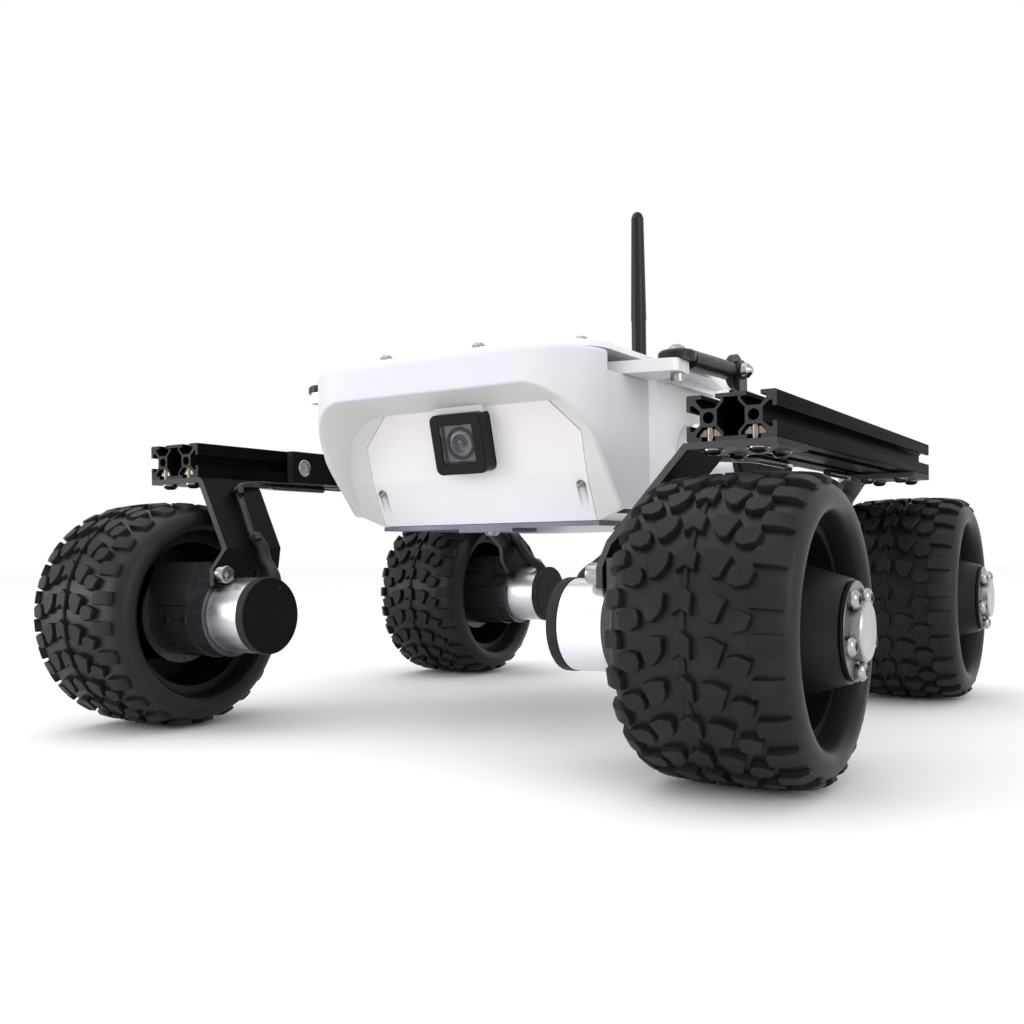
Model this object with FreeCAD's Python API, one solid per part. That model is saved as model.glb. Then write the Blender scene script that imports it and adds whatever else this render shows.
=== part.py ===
import FreeCAD, Part
import math
import os
from FreeCAD import Vector

os.makedirs("parts", exist_ok=True)

# Four-wheeled rover prototype. X runs to its left side, Y to its rear, Z up.
# The origin lies on the ground, midway between the four wheels.

# Stance and general fits
wheelbase = 305.0
track_width = 360.0
overrun = 5.0
seat_gap = 0.3
bolt_gap = 0.3
run_gap = 0.05
fuse_depth = 0.5
edge_break = 0.8
straight_share = 0.999999

# Tyre, with lugs round both shoulders and a deep dish on both sides
tyre_radius = 65.0
tyre_width = 74.0
tread_pitches = 23
crown_half = 16.0
crown_edge = 25.5
crown_drop = 1.2
lug_shoulder_half = 33.5
lug_shoulder_drop = 4.0
lug_side_drop = 10.5
groove_drop = 5.5
flank_half = 36.4
flank_depth = 14.5

# Rim: barrel, web, outward cone and shaft boss
barrel_depth = 21.0
barrel_wall = 2.5
barrel_width = 50.0
lip_height = 2.5
lip_width = 2.0
web_offset = 9.5
web_thickness = 2.5
cone_base_radius = 30.0
cone_end_radius = 21.0
cone_length = 30.0
cone_wall = 2.5
boss_radius = 8.0

# Steel hub: shaft, plate and raised disc with its screws
shaft_radius = 4.0
shaft_engagement = 10.0
hub_plate_radius = 20.0
hub_plate_thickness = 2.0
hub_disc_radius = 12.0
hub_disc_thickness = 4.5
hub_screw_circle = 16.1
hub_screw_radius = 3.8
hub_screw_height = 2.6
hub_screw_count = 5
hub_screw_turn = 270.0

# Drive motor, its cap and the machined clamp round it
can_radius = 21.0
can_start = 99.0
can_end = 160.0
cap_radius = 21.3
cap_start = 93.6
cap_edge = 1.0
clamp_start = 122.3
clamp_ring_end = 134.0
clamp_end = 166.0
clamp_radius = 23.5
clamp_flat = 24.2
clamp_top = 30.0
clamp_top_half = 17.0
clamp_bevel = 14.0
clamp_groove = 0.8
clamp_groove_height = 6.0
clamp_flange_radius = 28.5
clamp_flange_thickness = 1.6

# Side beam, a double slotted profile lying flat
beam_short = 4.0
beam_width = 40.0
beam_height = 20.0
beam_base = 144.0
beam_center = 172.0
core_radius = 2.5
slot_opening = 6.2
slot_lip = 1.8
slot_inner = 11.0
slot_shoulder = 1.4
slot_floor = 5.8
slot_depth = 6.1
cavity_width = 12.4
cavity_height = 16.6
cavity_neck = 6.6
cavity_neck_height = 13.0
cavity_side_height = 6.8

# Bent sheet leg under each beam end, measured from the axle to the front and to the back
sheet = 3.0
flange_inner = 149.0
bend_x = 118.0
bend_rise = 37.5
flange_back = 44.5
web_front = 8.5
web_back = 33.0
ear_front = 18.5
ear_back = 31.0
ear_rise = 26.0
ear_tip_rise = 17.0
ear_tip_half = 18.5
leg_bolt_radius = 2.6
leg_bolt_inset = 10.0
leg_bolt_far = 37.5
leg_bolt_near = 7.5
clamp_screw_offset = 13.5
clamp_screw_height = 23.0
clamp_screw_radius = 2.1

# Body box behind the visor
body_half_width = 90.0
body_bottom = 114.3
body_top = 199.0
box_front = -56.0
box_rear = 120.0
box_corner = 6.0

# Printed visor, with a hood whose roof falls to the rear and whose sides are cut on a slant
visor_depth = 79.5
visor_corner = 31.6
visor_top_round = 3.0
visor_wall = 4.0
visor_floor = 3.5
loft_z = 188.2
loft_front = -103.2
hood_wall = 3.5
hood_corner = 30.0
hood_lip_z = 180.8
hood_back_z = 176.5
hood_round = 1.5
slant_top_z = 178.8
slant_low_y = -86.3
slant_low_z = 120.7

# Face panel: two slopes that meet at a crease
crease_y = -91.0
crease_z = 139.0
face_low_y = -80.0
face_top_y = -100.5
face_top_z = 177.0
panel_thickness = 4.0
panel_half = 71.0
panel_shoulder_z = 160.0
panel_top_half = 54.0
panel_seam = 0.3
side_low_z = 121.5
under_half = 72.0
screw_pit_radius = 3.8
screw_pit_x = 66.0
screw_pit_y = -92.5
screw_pit_z = 130.0
screw_pit_length = 24.0
screw_pit_tilt = 62.0

# Camera: tilted square bezel, glass and lens
camera_size = 33.0
camera_depth = 12.0
camera_corner = 4.0
camera_y = -106.0
camera_z = 156.5
camera_tilt = 14.0
camera_opening = 21.5
glass_thickness = 1.2
glass_recess = 0.6
lens_radius = 7.0
lens_length = 5.0
lens_seat = 18.0
lens_seat_depth = 3.0

# Covers
top_thickness = 3.0
cover_inset = 6.0
cover_corner = 30.0
bottom_thickness = 2.8
bottom_rear = 108.0
tab_width = 36.0
tab_depth = 26.0
tab_thickness = 2.0

# Antenna on the top cover
antenna_x = 41.0
antenna_y = 36.0
antenna_base_radius = 4.6
antenna_base_height = 41.0
antenna_mid_radius = 4.9
antenna_tip_radius = 3.9
antenna_length = 109.0
antenna_dome_share = 0.75
antenna_flat_share = 0.33

# Differential bar and its links
bar_x = 2.0
bar_y = -79.5
bar_turn = 4.9
bar_width = 32.0
bar_taper = 80.0
bar_half = 115.4
bar_tip_width = 21.4
bar_bottom = 188.5
bar_thickness = 6.4
bar_corner = 5.0
bar_bolt = 111.4
bar_pivot_radius = 6.0
link_radius = 5.2
link_neck = 13.0
link_neck_radius = 2.0
link_start = 6.5
ring_radius = 9.8
ring_half = 2.3
ring_lift = 0.3
ring_edge = 1.2
link_bolt_radius = 2.5
bolt_head_radius = 4.8
bolt_head_height = 3.1
cross_head_height = 5.0
head_edge_share = 0.55
head_side_share = 0.85
head_top_share = 0.4
nut_height = 4.0
nut_radius = 3.6

# Rocker plate on each beam's inner face, and the arm that stands on its pivot sleeve
rocker_plate = 4.6
rocker_half = 78.0
arm_x = 120.9
arm_thickness = 3.0
arm_front = -18.0
arm_rear = 24.0
arm_foot_half = 15.0
arm_top = 185.5
arm_ear_y = -3.6
arm_ear_radius = 6.0
sleeve_outer = 13.0
pivot_z = 150.5
pivot_radius = 8.0
pivot_flange_radius = 20.0
pivot_flange_thickness = 5.0

# Aluminium side angles on the body, behind the bar
angle_front = -46.0
angle_rear = 35.0
angle_clip_y = -8.0
angle_clip_x = 9.0
angle_reach = 16.8
angle_leg = 6.5
angle_thickness = 3.0
angle_top = 197.0
angle_hole_inset = 6.0
angle_hole_radius = 2.6

# Motor leads, a thick sleeve at the motor and a thin cable above it
lead_radius = 2.4
sleeve_radius = 4.0
lead_rest = 3.4
lead_exit = 24.0
lead_rise = 7.0
lead_run = 12.5
lead_slack = 9.0
lead_bow = 8.0
lead_beam_inset = 6.0

beam_in = beam_center - beam_width / 2
beam_out = beam_center + beam_width / 2
beam_top = beam_base + beam_height
beam_half = (wheelbase - beam_short) / 2
axle_y = wheelbase / 2
axle_z = tyre_radius
flank_radius = tyre_radius - flank_depth
barrel_radius = tyre_radius - barrel_depth
bend_z = axle_z + bend_rise
ear_z = axle_z + ear_rise
ear_tip_z = axle_z + ear_tip_rise
wheel_x = track_width / 2
cover_bottom = body_top
cover_top = body_top + top_thickness
visor_front = box_front - visor_depth


def box(x0, x1, y0, y1, z0, z1):
    return Part.makeBox(x1 - x0, y1 - y0, z1 - z0, Vector(x0, y0, z0))


def rod(start, end, radius):
    """Round bar from one point to another."""
    run = end.sub(start)
    return Part.makeCylinder(radius, run.Length, start, run)


def prism(points, travel):
    """Flat outline of points, pushed along the travel vector."""
    return Part.Face(Part.makePolygon(points + [points[0]])).extrude(travel)


def slab_x(points, x0, x1):
    """Side-view outline of (y, z) points, from x0 to x1."""
    return prism([Vector(x0, y, z) for y, z in points], Vector(x1 - x0, 0, 0))


def slab_y(points, y0, y1):
    """Front-view outline of (x, z) points, from y0 to y1."""
    return prism([Vector(x, y0, z) for x, z in points], Vector(0, y1 - y0, 0))


def edges_along(shape, axis, test=None):
    """Straight edges of a solid that run along one axis and pass a test."""
    found = []
    for edge in shape.Edges:
        if edge.Curve.TypeId != "Part::GeomLine":
            continue
        ends = edge.Vertexes
        run = ends[1].Point.sub(ends[0].Point)
        if abs(run.dot(axis)) > run.Length * straight_share:
            if test is None or test(edge.CenterOfMass):
                found.append(edge)
    return found


def turned(profile, center, axis):
    """Closed profile of (along, radius) pairs turned round an axis through the center."""
    side = Vector(0, 0, 1) if abs(axis.z) < straight_share else Vector(1, 0, 0)
    points = [center.add(axis * along).add(side * radius) for along, radius in profile]
    face = Part.Face(Part.makePolygon(points + [points[0]]))
    return face.revolve(center, axis, 360)


def tube(points, radius, bend_share=0.9):
    """Round cable along straight runs joined by tangent arcs."""
    path, last = [], points[0]
    for before, point, after in zip(points, points[1:], points[2:]):
        back, ahead = before.sub(point), after.sub(point)
        cut = min(back.Length, ahead.Length) / 2 * bend_share
        back.normalize()
        ahead.normalize()
        start, end = point.add(back * cut), point.add(ahead * cut)
        half = back.getAngle(ahead) / 2
        inward = back.add(ahead).normalize()
        middle = point.add(inward * (cut / math.cos(half) - cut * math.tan(half)))
        print("bend radius", round(cut * math.tan(half), 1))
        path = path + [Part.makeLine(last, start), Part.Arc(start, middle, end).toShape()]
        last = end
    path.append(Part.makeLine(last, points[-1]))
    ring = Part.Wire([Part.Circle(points[0], points[1].sub(points[0]), radius).toShape()])
    return Part.Wire(path).makePipeShell([ring], True, True)


def mirror_x(shape):
    return shape.mirror(Vector(0, 0, 0), Vector(1, 0, 0))


def mirror_y(shape):
    return shape.mirror(Vector(0, 0, 0), Vector(0, 1, 0))


def corners(shape):
    """Copies at the four corners, named front/rear and left/right."""
    return {"front_left": shape, "front_right": mirror_x(shape),
            "rear_left": mirror_y(shape), "rear_right": mirror_x(mirror_y(shape))}


def save(name, shape):
    shape.exportStep("parts/" + name + ".step")


def whole(shapes):
    """Several solids kept apart in one shape."""
    return Part.makeCompound([solid for shape in shapes for solid in shape.Solids])


X = Vector(1, 0, 0)
Y = Vector(0, 1, 0)
Z = Vector(0, 0, 1)


def tyre_section(lug):
    """Half section from crown to bead as (along, radius) pairs, on a lug or between two."""
    bead = barrel_width / 2 - lip_width
    shoulder = [(crown_edge, tyre_radius - groove_drop)]
    if lug:
        shoulder = [(lug_shoulder_half, tyre_radius - lug_shoulder_drop),
                    (tyre_width / 2, tyre_radius - lug_side_drop)]
    return [(crown_half, tyre_radius), (crown_edge, tyre_radius - crown_drop)] + shoulder + [
        (flank_half, flank_radius), (bead, barrel_radius + lip_height + seat_gap),
        (bead, barrel_radius + seat_gap)]


def tyre_slice(lug, spread):
    """Half a pitch of the tyre at its top: the section pushed along the tangent, cut to a wedge."""
    far = tyre_radius + overrun
    reach = far * math.tan(spread / 2)
    half = tyre_section(lug)
    outline = half + [(-along, radius) for along, radius in reversed(half)]
    block = prism([Vector(along, -reach, radius) for along, radius in outline], Vector(0, reach * 2, 0))
    return block.common(slab_x([(0, 0), (-reach, far), (reach, far)], -tyre_width, tyre_width))


def make_tyre(center):
    """Tyre from slices, each second one with a lug on both shoulders."""
    spread = math.pi / tread_pitches
    slices = []
    for index in range(tread_pitches * 2):
        piece = tyre_slice(index % 2 == 0, spread)
        piece.rotate(Vector(0, 0, 0), X, math.degrees(spread * index))
        slices.append(piece)
    tyre = slices[0].fuse(slices[1:])
    tyre.translate(center)
    return tyre


def make_rim(center):
    """Barrel with two lips, a web, the outward cone and its end wall with a boss."""
    half = barrel_width / 2
    lip = barrel_radius + lip_height
    inner = barrel_radius - barrel_wall
    web = web_offset + web_thickness
    tip = web + cone_length
    bore = shaft_radius + seat_gap
    profile = [(-half, inner), (-half, lip), (lip_width - half, lip),
               (lip_width - half, barrel_radius), (half - lip_width, barrel_radius),
               (half - lip_width, lip), (half, lip), (half, inner), (web, inner),
               (web, cone_base_radius), (tip, cone_end_radius), (tip, bore),
               (web_offset, bore), (web_offset, boss_radius),
               (tip - cone_wall, boss_radius), (tip - cone_wall, cone_end_radius - cone_wall),
               (web_offset, cone_base_radius - cone_wall), (web_offset, inner)]
    return turned(profile, center, X)


def make_hub(center):
    """Steel shaft with the hub plate, the raised disc and its round of screws."""
    seat = web_offset + web_thickness + cone_length + seat_gap
    plate = seat + hub_plate_thickness
    tip = can_end - shaft_engagement - wheel_x
    solid = turned([(tip, 0), (tip, shaft_radius), (seat, shaft_radius), (seat, hub_plate_radius),
                    (plate, hub_plate_radius), (plate, hub_disc_radius),
                    (plate + hub_disc_thickness - edge_break, hub_disc_radius),
                    (plate + hub_disc_thickness, hub_disc_radius - edge_break),
                    (plate + hub_disc_thickness, 0)], center, X)
    for index in range(hub_screw_count):
        angle = math.radians(hub_screw_turn + index * 360 / hub_screw_count)
        spot = center.add(X * (plate - fuse_depth)).add(
            Y * (hub_screw_circle * math.cos(angle))).add(Z * (hub_screw_circle * math.sin(angle)))
        solid = solid.fuse(rod(spot, spot.add(X * (hub_screw_height + fuse_depth)), hub_screw_radius))
    return solid.removeSplitter()


def make_can(center):
    """Silver motor can, bored for the shaft."""
    can = rod(Vector(can_start + seat_gap, center.y, center.z), Vector(can_end, center.y, center.z),
              can_radius)
    tip = can_end - shaft_engagement - seat_gap
    return can.cut(rod(Vector(tip, center.y, center.z), Vector(can_end + overrun, center.y, center.z),
                       shaft_radius + run_gap))


def make_cap(center):
    """Black motor end cap."""
    cap = rod(Vector(cap_start, center.y, center.z), Vector(can_start, center.y, center.z), cap_radius)
    rim = [edge for edge in cap.Edges if abs(edge.CenterOfMass.x - cap_start) < run_gap
           and edge.Curve.TypeId == "Part::GeomCircle"]
    return cap.makeFillet(cap_edge, rim)


def make_clamp(center):
    """Machined clamp: a plain ring, then a flat-sided block with the split line and end flange."""
    y, z = center.y, center.z
    ring = rod(Vector(clamp_start, y, z), Vector(clamp_end, y, z), clamp_radius)
    block = slab_x([(y - clamp_flat, z), (y - clamp_flat, z + clamp_bevel),
                    (y - clamp_top_half, z + clamp_top), (y + clamp_top_half, z + clamp_top),
                    (y + clamp_flat, z + clamp_bevel), (y + clamp_flat, z)],
                   clamp_ring_end, clamp_end)
    ears = slab_x([(y - clamp_top_half, z + clamp_top), (y - clamp_top_half, z),
                   (y + clamp_top_half, z), (y + clamp_top_half, z + clamp_top)],
                  clamp_start, clamp_end)
    low = rod(Vector(clamp_ring_end, y, z), Vector(clamp_end, y, z), clamp_flat)
    flange = rod(Vector(clamp_end - clamp_flange_thickness, y, z), Vector(clamp_end, y, z),
                 clamp_flange_radius)
    solid = ring.fuse([block, ears, low, flange]).removeSplitter()
    for side in (-1, 1):
        face = y + side * clamp_flat
        line = z + clamp_groove_height
        solid = solid.cut(box(clamp_ring_end, clamp_end - clamp_flange_thickness,
                              face - clamp_groove, face + clamp_groove,
                              line - clamp_groove / 2, line + clamp_groove / 2))
    solid = solid.cut(rod(Vector(clamp_start - overrun, y, z),
                          Vector(can_end + seat_gap, y, z), can_radius + seat_gap))
    return solid.cut(rod(Vector(can_end, y, z), Vector(clamp_end + overrun, y, z),
                         shaft_radius + seat_gap))


def make_beam():
    """Left side beam: slotted section pushed along its length."""
    half = beam_width / 2
    rise = beam_height / 2
    mid = beam_base + rise

    def slot(across, deep, spin):
        # one T-shaped slot whose mouth lies at the given face
        points = [(-slot_opening / 2, overrun), (-slot_opening / 2, -slot_lip),
                  (-slot_inner / 2, -slot_lip), (-slot_inner / 2, -slot_lip - slot_shoulder),
                  (-slot_floor / 2, -slot_depth), (slot_floor / 2, -slot_depth),
                  (slot_inner / 2, -slot_lip - slot_shoulder), (slot_inner / 2, -slot_lip),
                  (slot_opening / 2, -slot_lip), (slot_opening / 2, overrun)]
        turn = math.radians(spin)
        outline = []
        for u, w in points:
            w = w + deep
            outline.append((beam_center + across + u * math.cos(turn) + w * math.sin(turn),
                            mid - u * math.sin(turn) + w * math.cos(turn)))
        return slab_y(outline, -beam_half - overrun, beam_half + overrun)

    solid = box(beam_in, beam_out, -beam_half, beam_half, beam_base, beam_top)
    solid = solid.makeFillet(edge_break, edges_along(solid, Y))
    cuts = []
    for across in (-rise, rise):
        cuts.append(slot(across, rise, 0))
        cuts.append(slot(across, rise, 180))
        cuts.append(rod(Vector(beam_center + across, -beam_half - overrun, mid),
                        Vector(beam_center + across, beam_half + overrun, mid), core_radius))
    cuts.append(slot(0, half, 90))
    cuts.append(slot(0, half, -90))
    quarter = [(cavity_width / 2, cavity_side_height / 2), (cavity_neck / 2, cavity_neck_height / 2),
               (cavity_neck / 2, cavity_height / 2)]
    outline = [(x, z) for x, z in quarter] + [(-x, z) for x, z in reversed(quarter)]
    outline = outline + [(-x, -z) for x, z in quarter] + [(x, -z) for x, z in reversed(quarter)]
    cuts.append(slab_y([(beam_center + x, mid + z) for x, z in outline],
                       -beam_half - overrun, beam_half + overrun))
    return solid.cut(cuts)


def make_leg():
    """Front left leg: flange under the beam, slanted web and upright ears, cut from bent sheet."""
    top = beam_base
    under = beam_base - sheet
    slope = math.atan2(flange_inner - bend_x, under - bend_z)
    shift = sheet / math.cos(slope) - sheet * math.tan(slope)
    profile = [(beam_out, top), (beam_out, under), (flange_inner + shift + sheet / 2, under),
               (bend_x + sheet, bend_z - sheet / 2), (bend_x + sheet, ear_tip_z), (bend_x, ear_tip_z),
               (bend_x, bend_z), (flange_inner, under + sheet / 2), (flange_inner + sheet / 2, top)]
    sheet_solid = slab_y(profile, -axle_y - ear_front - overrun, -axle_y + flange_back + overrun)
    rear = -axle_y + flange_back
    outline = slab_x([(-beam_half, top + overrun), (-beam_half, under), (-axle_y - web_front, bend_z),
                      (-axle_y - ear_front, ear_z), (-axle_y - ear_tip_half, ear_tip_z - overrun),
                      (-axle_y + ear_tip_half, ear_tip_z - overrun), (-axle_y + ear_back, ear_z),
                      (-axle_y + web_back, bend_z), (rear, under - sheet), (rear, top + overrun)],
                     bend_x - overrun, beam_out + overrun)
    solid = sheet_solid.common(outline)
    solid = solid.cut(rod(Vector(bend_x - overrun, -axle_y, axle_z),
                          Vector(bend_x + sheet + overrun, -axle_y, axle_z), can_radius + seat_gap))
    holes = []
    for x in (beam_in + leg_bolt_inset, beam_out - leg_bolt_inset):
        for y in (-axle_y + leg_bolt_near, -axle_y + leg_bolt_far):
            holes.append(rod(Vector(x, y, under - overrun), Vector(x, y, top + overrun), leg_bolt_radius))
    for side in (-1, 1):
        y = -axle_y + side * clamp_screw_offset
        z = axle_z + clamp_screw_height
        holes.append(rod(Vector(bend_x - overrun, y, z), Vector(bend_x + sheet + overrun, y, z),
                         clamp_screw_radius))
    return solid.cut(holes)


def plan_prism(z0, z1, inset=0):
    """Visor outline seen from above, round its nose corners; an inset one is open to the rear."""
    half = body_half_width - inset
    rear = box_front + (overrun if inset else 0)
    solid = box(-half, half, visor_front + inset, rear, z0, z1)
    return solid.makeFillet(visor_corner - inset, edges_along(solid, Z, lambda c: c.y < box_front))


def hood_arch():
    """Hollow under the hood: a front view with round upper corners, pushed back down the roof's fall."""
    half = body_half_width - hood_wall
    fall = (hood_lip_z - hood_back_z) / (face_y(hood_back_z) - visor_front)
    front = visor_front - overrun
    top = hood_lip_z + fall * overrun
    arch = box(-half, half, front, front + overrun, body_bottom - visor_depth, top)
    arch = arch.makeFillet(hood_corner, edges_along(arch, Y, lambda c: c.z > body_bottom))
    face = [face for face in arch.Faces if abs(face.CenterOfMass.y - front) < run_gap][0]
    length = box_front - front
    return face.extrude(Vector(0, length, -fall * length))


def hood_slant():
    """What the slanted cut takes off the hood's sides, as one block across the visor."""
    rise = (slant_top_z - slant_low_z) / (slant_low_y - visor_front)
    low = body_bottom - overrun
    front = visor_front - overrun
    foot = slant_low_y + (slant_low_z - low) / rise
    return slab_x([(front, slant_top_z + rise * overrun), (foot, low), (front, low)],
                  -body_half_width - overrun, body_half_width + overrun)


def face_y(z):
    """Where the sloped face lies at a height."""
    if z < crease_z:
        return crease_y + (face_low_y - crease_y) * (crease_z - z) / (crease_z - body_bottom)
    return crease_y + (face_top_y - crease_y) * (z - crease_z) / (face_top_z - crease_z)


def face_profile(back, top):
    """Side view of the face up to a height, moved back, as (y, z) points from the bottom up."""
    low = body_bottom - overrun
    return [(face_y(low) + back, low), (crease_y + back, crease_z), (face_y(top) + back, top)]


def panel_shape(grow):
    """Front view of the face panel, grown or shrunk by the seam."""
    half, top = panel_half + grow, face_top_z + overrun
    return slab_y([(-half, body_bottom - overrun), (-half, panel_shoulder_z + grow),
                   (-panel_top_half - grow, face_top_z + grow), (-panel_top_half - grow, top),
                   (panel_top_half + grow, top), (panel_top_half + grow, face_top_z + grow),
                   (half, panel_shoulder_z + grow), (half, body_bottom - overrun)],
                  visor_front, box_front)


def lip_edges(shell):
    """Edges of the hood's opening that lie on the visor's outer skin."""
    core = plan_prism(body_bottom - overrun, body_top + overrun, run_gap)
    found = []
    for edge in shell.Edges:
        middle = edge.valueAt((edge.FirstParameter + edge.LastParameter) / 2)
        inside = core.isInside(middle, run_gap / 2, True)
        if not inside and slant_low_z < middle.z < hood_lip_z + run_gap and middle.y < slant_low_y:
            if edge.BoundBox.ZLength < edge.Length * straight_share:
                found.append(edge)
    return found


def make_visor_and_panel():
    """Printed visor with its arched hood, and the face panel let into its back wall."""
    low = body_bottom - overrun
    shell = plan_prism(body_bottom, body_top)
    rim = [edge for edge in shell.Edges if edge.BoundBox.ZMin > body_top - run_gap
           and edge.CenterOfMass.y < box_front - run_gap]
    shell = shell.makeFillet(visor_top_round, rim)
    ahead = face_profile(0, body_top) + [(visor_front - overrun * 2, body_top),
                                         (visor_front - overrun * 2, low)]
    view = slab_x(ahead, -body_half_width, body_half_width)
    shell = shell.cut([hood_arch().common(view), hood_slant()])
    shell = shell.makeFillet(hood_round, lip_edges(shell))
    shell = shell.cut(box(-body_half_width - overrun, body_half_width + overrun, loft_front,
                          box_front + overrun, loft_z, body_top + overrun))
    behind = face_profile(panel_thickness, hood_back_z - visor_floor)
    behind = slab_x(behind + [(box_front + overrun, hood_back_z - visor_floor),
                              (box_front + overrun, low)], -body_half_width, body_half_width)
    shell = shell.cut(plan_prism(body_bottom + visor_floor, hood_back_z - visor_floor,
                                 visor_wall).common(behind))
    for sign in (-1, 1):
        beyond = sign * (body_half_width + overrun)
        shell = shell.cut(slab_y([(sign * under_half, body_bottom), (sign * body_half_width, side_low_z),
                                  (beyond, side_low_z), (beyond, low), (sign * under_half, low)],
                                 visor_front - overrun, box_front + overrun))
    wall = slab_x(face_profile(0, body_top) + list(reversed(face_profile(panel_thickness, body_top))),
                  -body_half_width, body_half_width)
    wall = wall.common(box(-body_half_width, body_half_width, visor_front, box_front,
                           body_bottom, face_top_z - seat_gap))
    panel = wall.common(panel_shape(-panel_seam))
    slot = wall.common(panel_shape(0))
    shell = shell.cut(slot)
    half = camera_size / 2 + seat_gap
    well = box(-half, half, -overrun, camera_depth + panel_thickness + overrun, -half, half)
    well = well.makeFillet(camera_corner + seat_gap, edges_along(well, Y))
    panel = panel.cut(camera_place(well))
    tilt = math.radians(screw_pit_tilt)
    for sign in (-1, 1):
        foot = Vector(sign * screw_pit_x, screw_pit_y, screw_pit_z)
        run = Vector(0, -math.cos(tilt), -math.sin(tilt))
        panel = panel.cut(rod(foot, foot.add(run * screw_pit_length), screw_pit_radius))
    return shell, panel


def camera_place(shape):
    """From the camera's own frame, face towards -Y, to its tilted place."""
    shape.rotate(Vector(0, 0, 0), X, camera_tilt)
    shape.translate(Vector(0, camera_y, camera_z))
    return shape


def make_camera():
    """Bezel, glass and lens, built round the middle of the bezel's face."""
    half = camera_size / 2
    hole = camera_opening / 2
    bezel = box(-half, half, 0, camera_depth, -half, half)
    bezel = bezel.makeFillet(camera_corner, edges_along(bezel, Y))
    bezel = bezel.makeFillet(edge_break, [e for e in bezel.Edges if abs(e.BoundBox.YMax) < run_gap])
    floor = glass_recess + glass_thickness + seat_gap + lens_length + lens_seat_depth
    bezel = bezel.cut(box(-hole, hole, -overrun, floor, -hole, hole))
    pane = hole - seat_gap
    glass = box(-pane, pane, glass_recess, glass_recess + glass_thickness, -pane, pane)
    seat = lens_seat / 2
    start = glass_recess + glass_thickness + seat_gap
    lens = box(-seat, seat, start + lens_length, floor - seat_gap, -seat, seat)
    lens = lens.fuse(rod(Vector(0, start, 0), Vector(0, start + lens_length, 0), lens_radius))
    return camera_place(bezel), camera_place(glass), camera_place(lens)


def make_box():
    """White body box behind the visor."""
    solid = box(-body_half_width, body_half_width, box_front + seat_gap, box_rear,
                body_bottom, body_top - seat_gap)
    return solid.makeFillet(box_corner, edges_along(solid, Z, lambda c: c.y > 0))


def make_top():
    """Glossy top cover over visor and box."""
    cover = box(-body_half_width, body_half_width, visor_front + cover_inset, box_rear,
                cover_bottom, cover_top)
    cover = cover.makeFillet(cover_corner, edges_along(cover, Z, lambda c: c.y < box_front))
    return cover.makeFillet(box_corner, edges_along(cover, Z, lambda c: c.y > 0))


def make_bottom():
    """Bottom plate with the small tab under its front edge."""
    plate = box(-under_half, under_half, face_low_y, bottom_rear,
                body_bottom - bottom_thickness, body_bottom - seat_gap)
    plate = plate.makeFillet(box_corner, edges_along(plate, Z, lambda c: c.y > 0))
    tab = box(-tab_width / 2, tab_width / 2, face_low_y, face_low_y + tab_depth,
              body_bottom - bottom_thickness - tab_thickness, body_bottom - bottom_thickness)
    return plate.fuse(tab).removeSplitter()


def make_antenna():
    """Whip antenna with its knuckle, standing on the top cover."""
    foot = cover_top
    shoulder = antenna_base_height
    return turned([(0, 0), (0, antenna_base_radius), (shoulder, antenna_base_radius),
                   (shoulder, antenna_mid_radius),
                   (antenna_length - antenna_tip_radius, antenna_tip_radius),
                   (antenna_length - antenna_tip_radius * antenna_flat_share,
                    antenna_tip_radius * antenna_dome_share),
                   (antenna_length, antenna_tip_radius * antenna_flat_share), (antenna_length, 0)],
                  Vector(antenna_x, antenna_y, foot), Z)


def make_bar():
    """Tapered differential bar across the body, turned about its pivot post."""
    half, tip = bar_width / 2, bar_tip_width / 2
    quarter = [(bar_taper, half), (bar_half, tip)]
    outline = [(x, -y) for x, y in quarter] + [(x, y) for x, y in reversed(quarter)]
    outline = outline + [(-x, y) for x, y in quarter] + [(-x, -y) for x, y in reversed(quarter)]
    bar = prism([Vector(x, y, bar_bottom) for x, y in outline], Vector(0, 0, bar_thickness))
    bar = bar.makeFillet(bar_corner, edges_along(bar, Z, lambda c: abs(c.x) > bar_bolt))
    for x, radius in ((-bar_bolt, link_bolt_radius), (0, bar_pivot_radius), (bar_bolt, link_bolt_radius)):
        bar = bar.cut(rod(Vector(x, 0, bar_bottom - overrun),
                          Vector(x, 0, bar_bottom + bar_thickness + overrun), radius + bolt_gap))
    bar.rotate(Vector(0, 0, 0), Z, bar_turn)
    bar.translate(Vector(bar_x, bar_y, 0))
    post = rod(Vector(bar_x, bar_y, loft_z), Vector(bar_x, bar_y, cover_bottom - seat_gap),
               bar_pivot_radius)
    return bar, post


def link_points(side):
    """Middle of the ring on the bar and of the ring beside the rocker arm; side 1 is the left."""
    turn = math.radians(bar_turn)
    height = bar_bottom + bar_thickness + ring_lift + ring_half
    along = side * bar_bolt
    return (Vector(bar_x + along * math.cos(turn), bar_y + along * math.sin(turn), height),
            Vector(side * (arm_x - ring_lift - ring_half), arm_ear_y, height))


def make_link(side):
    """Link with two rod ends, one lying on the bar and one upright beside the rocker arm."""
    top, ear = link_points(side)
    profile = [(-ring_half, 0), (-ring_half, ring_radius), (ring_half - ring_edge, ring_radius),
               (ring_half, ring_radius - ring_edge), (ring_half, 0)]
    run = ear.sub(top).normalize()
    solid = turned(profile, top, Z)
    solid = solid.fuse([rod(top.add(run * link_start), top.add(run * link_neck), link_neck_radius),
                        rod(top.add(run * link_neck), ear.sub(run * link_start), link_radius),
                        turned(profile, ear, X * -side)])
    solid = solid.cut(rod(top.sub(Z * overrun), top.add(Z * overrun), link_bolt_radius + bolt_gap))
    return solid.cut(rod(ear.sub(X * overrun), ear.add(X * overrun), link_bolt_radius + bolt_gap))


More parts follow.
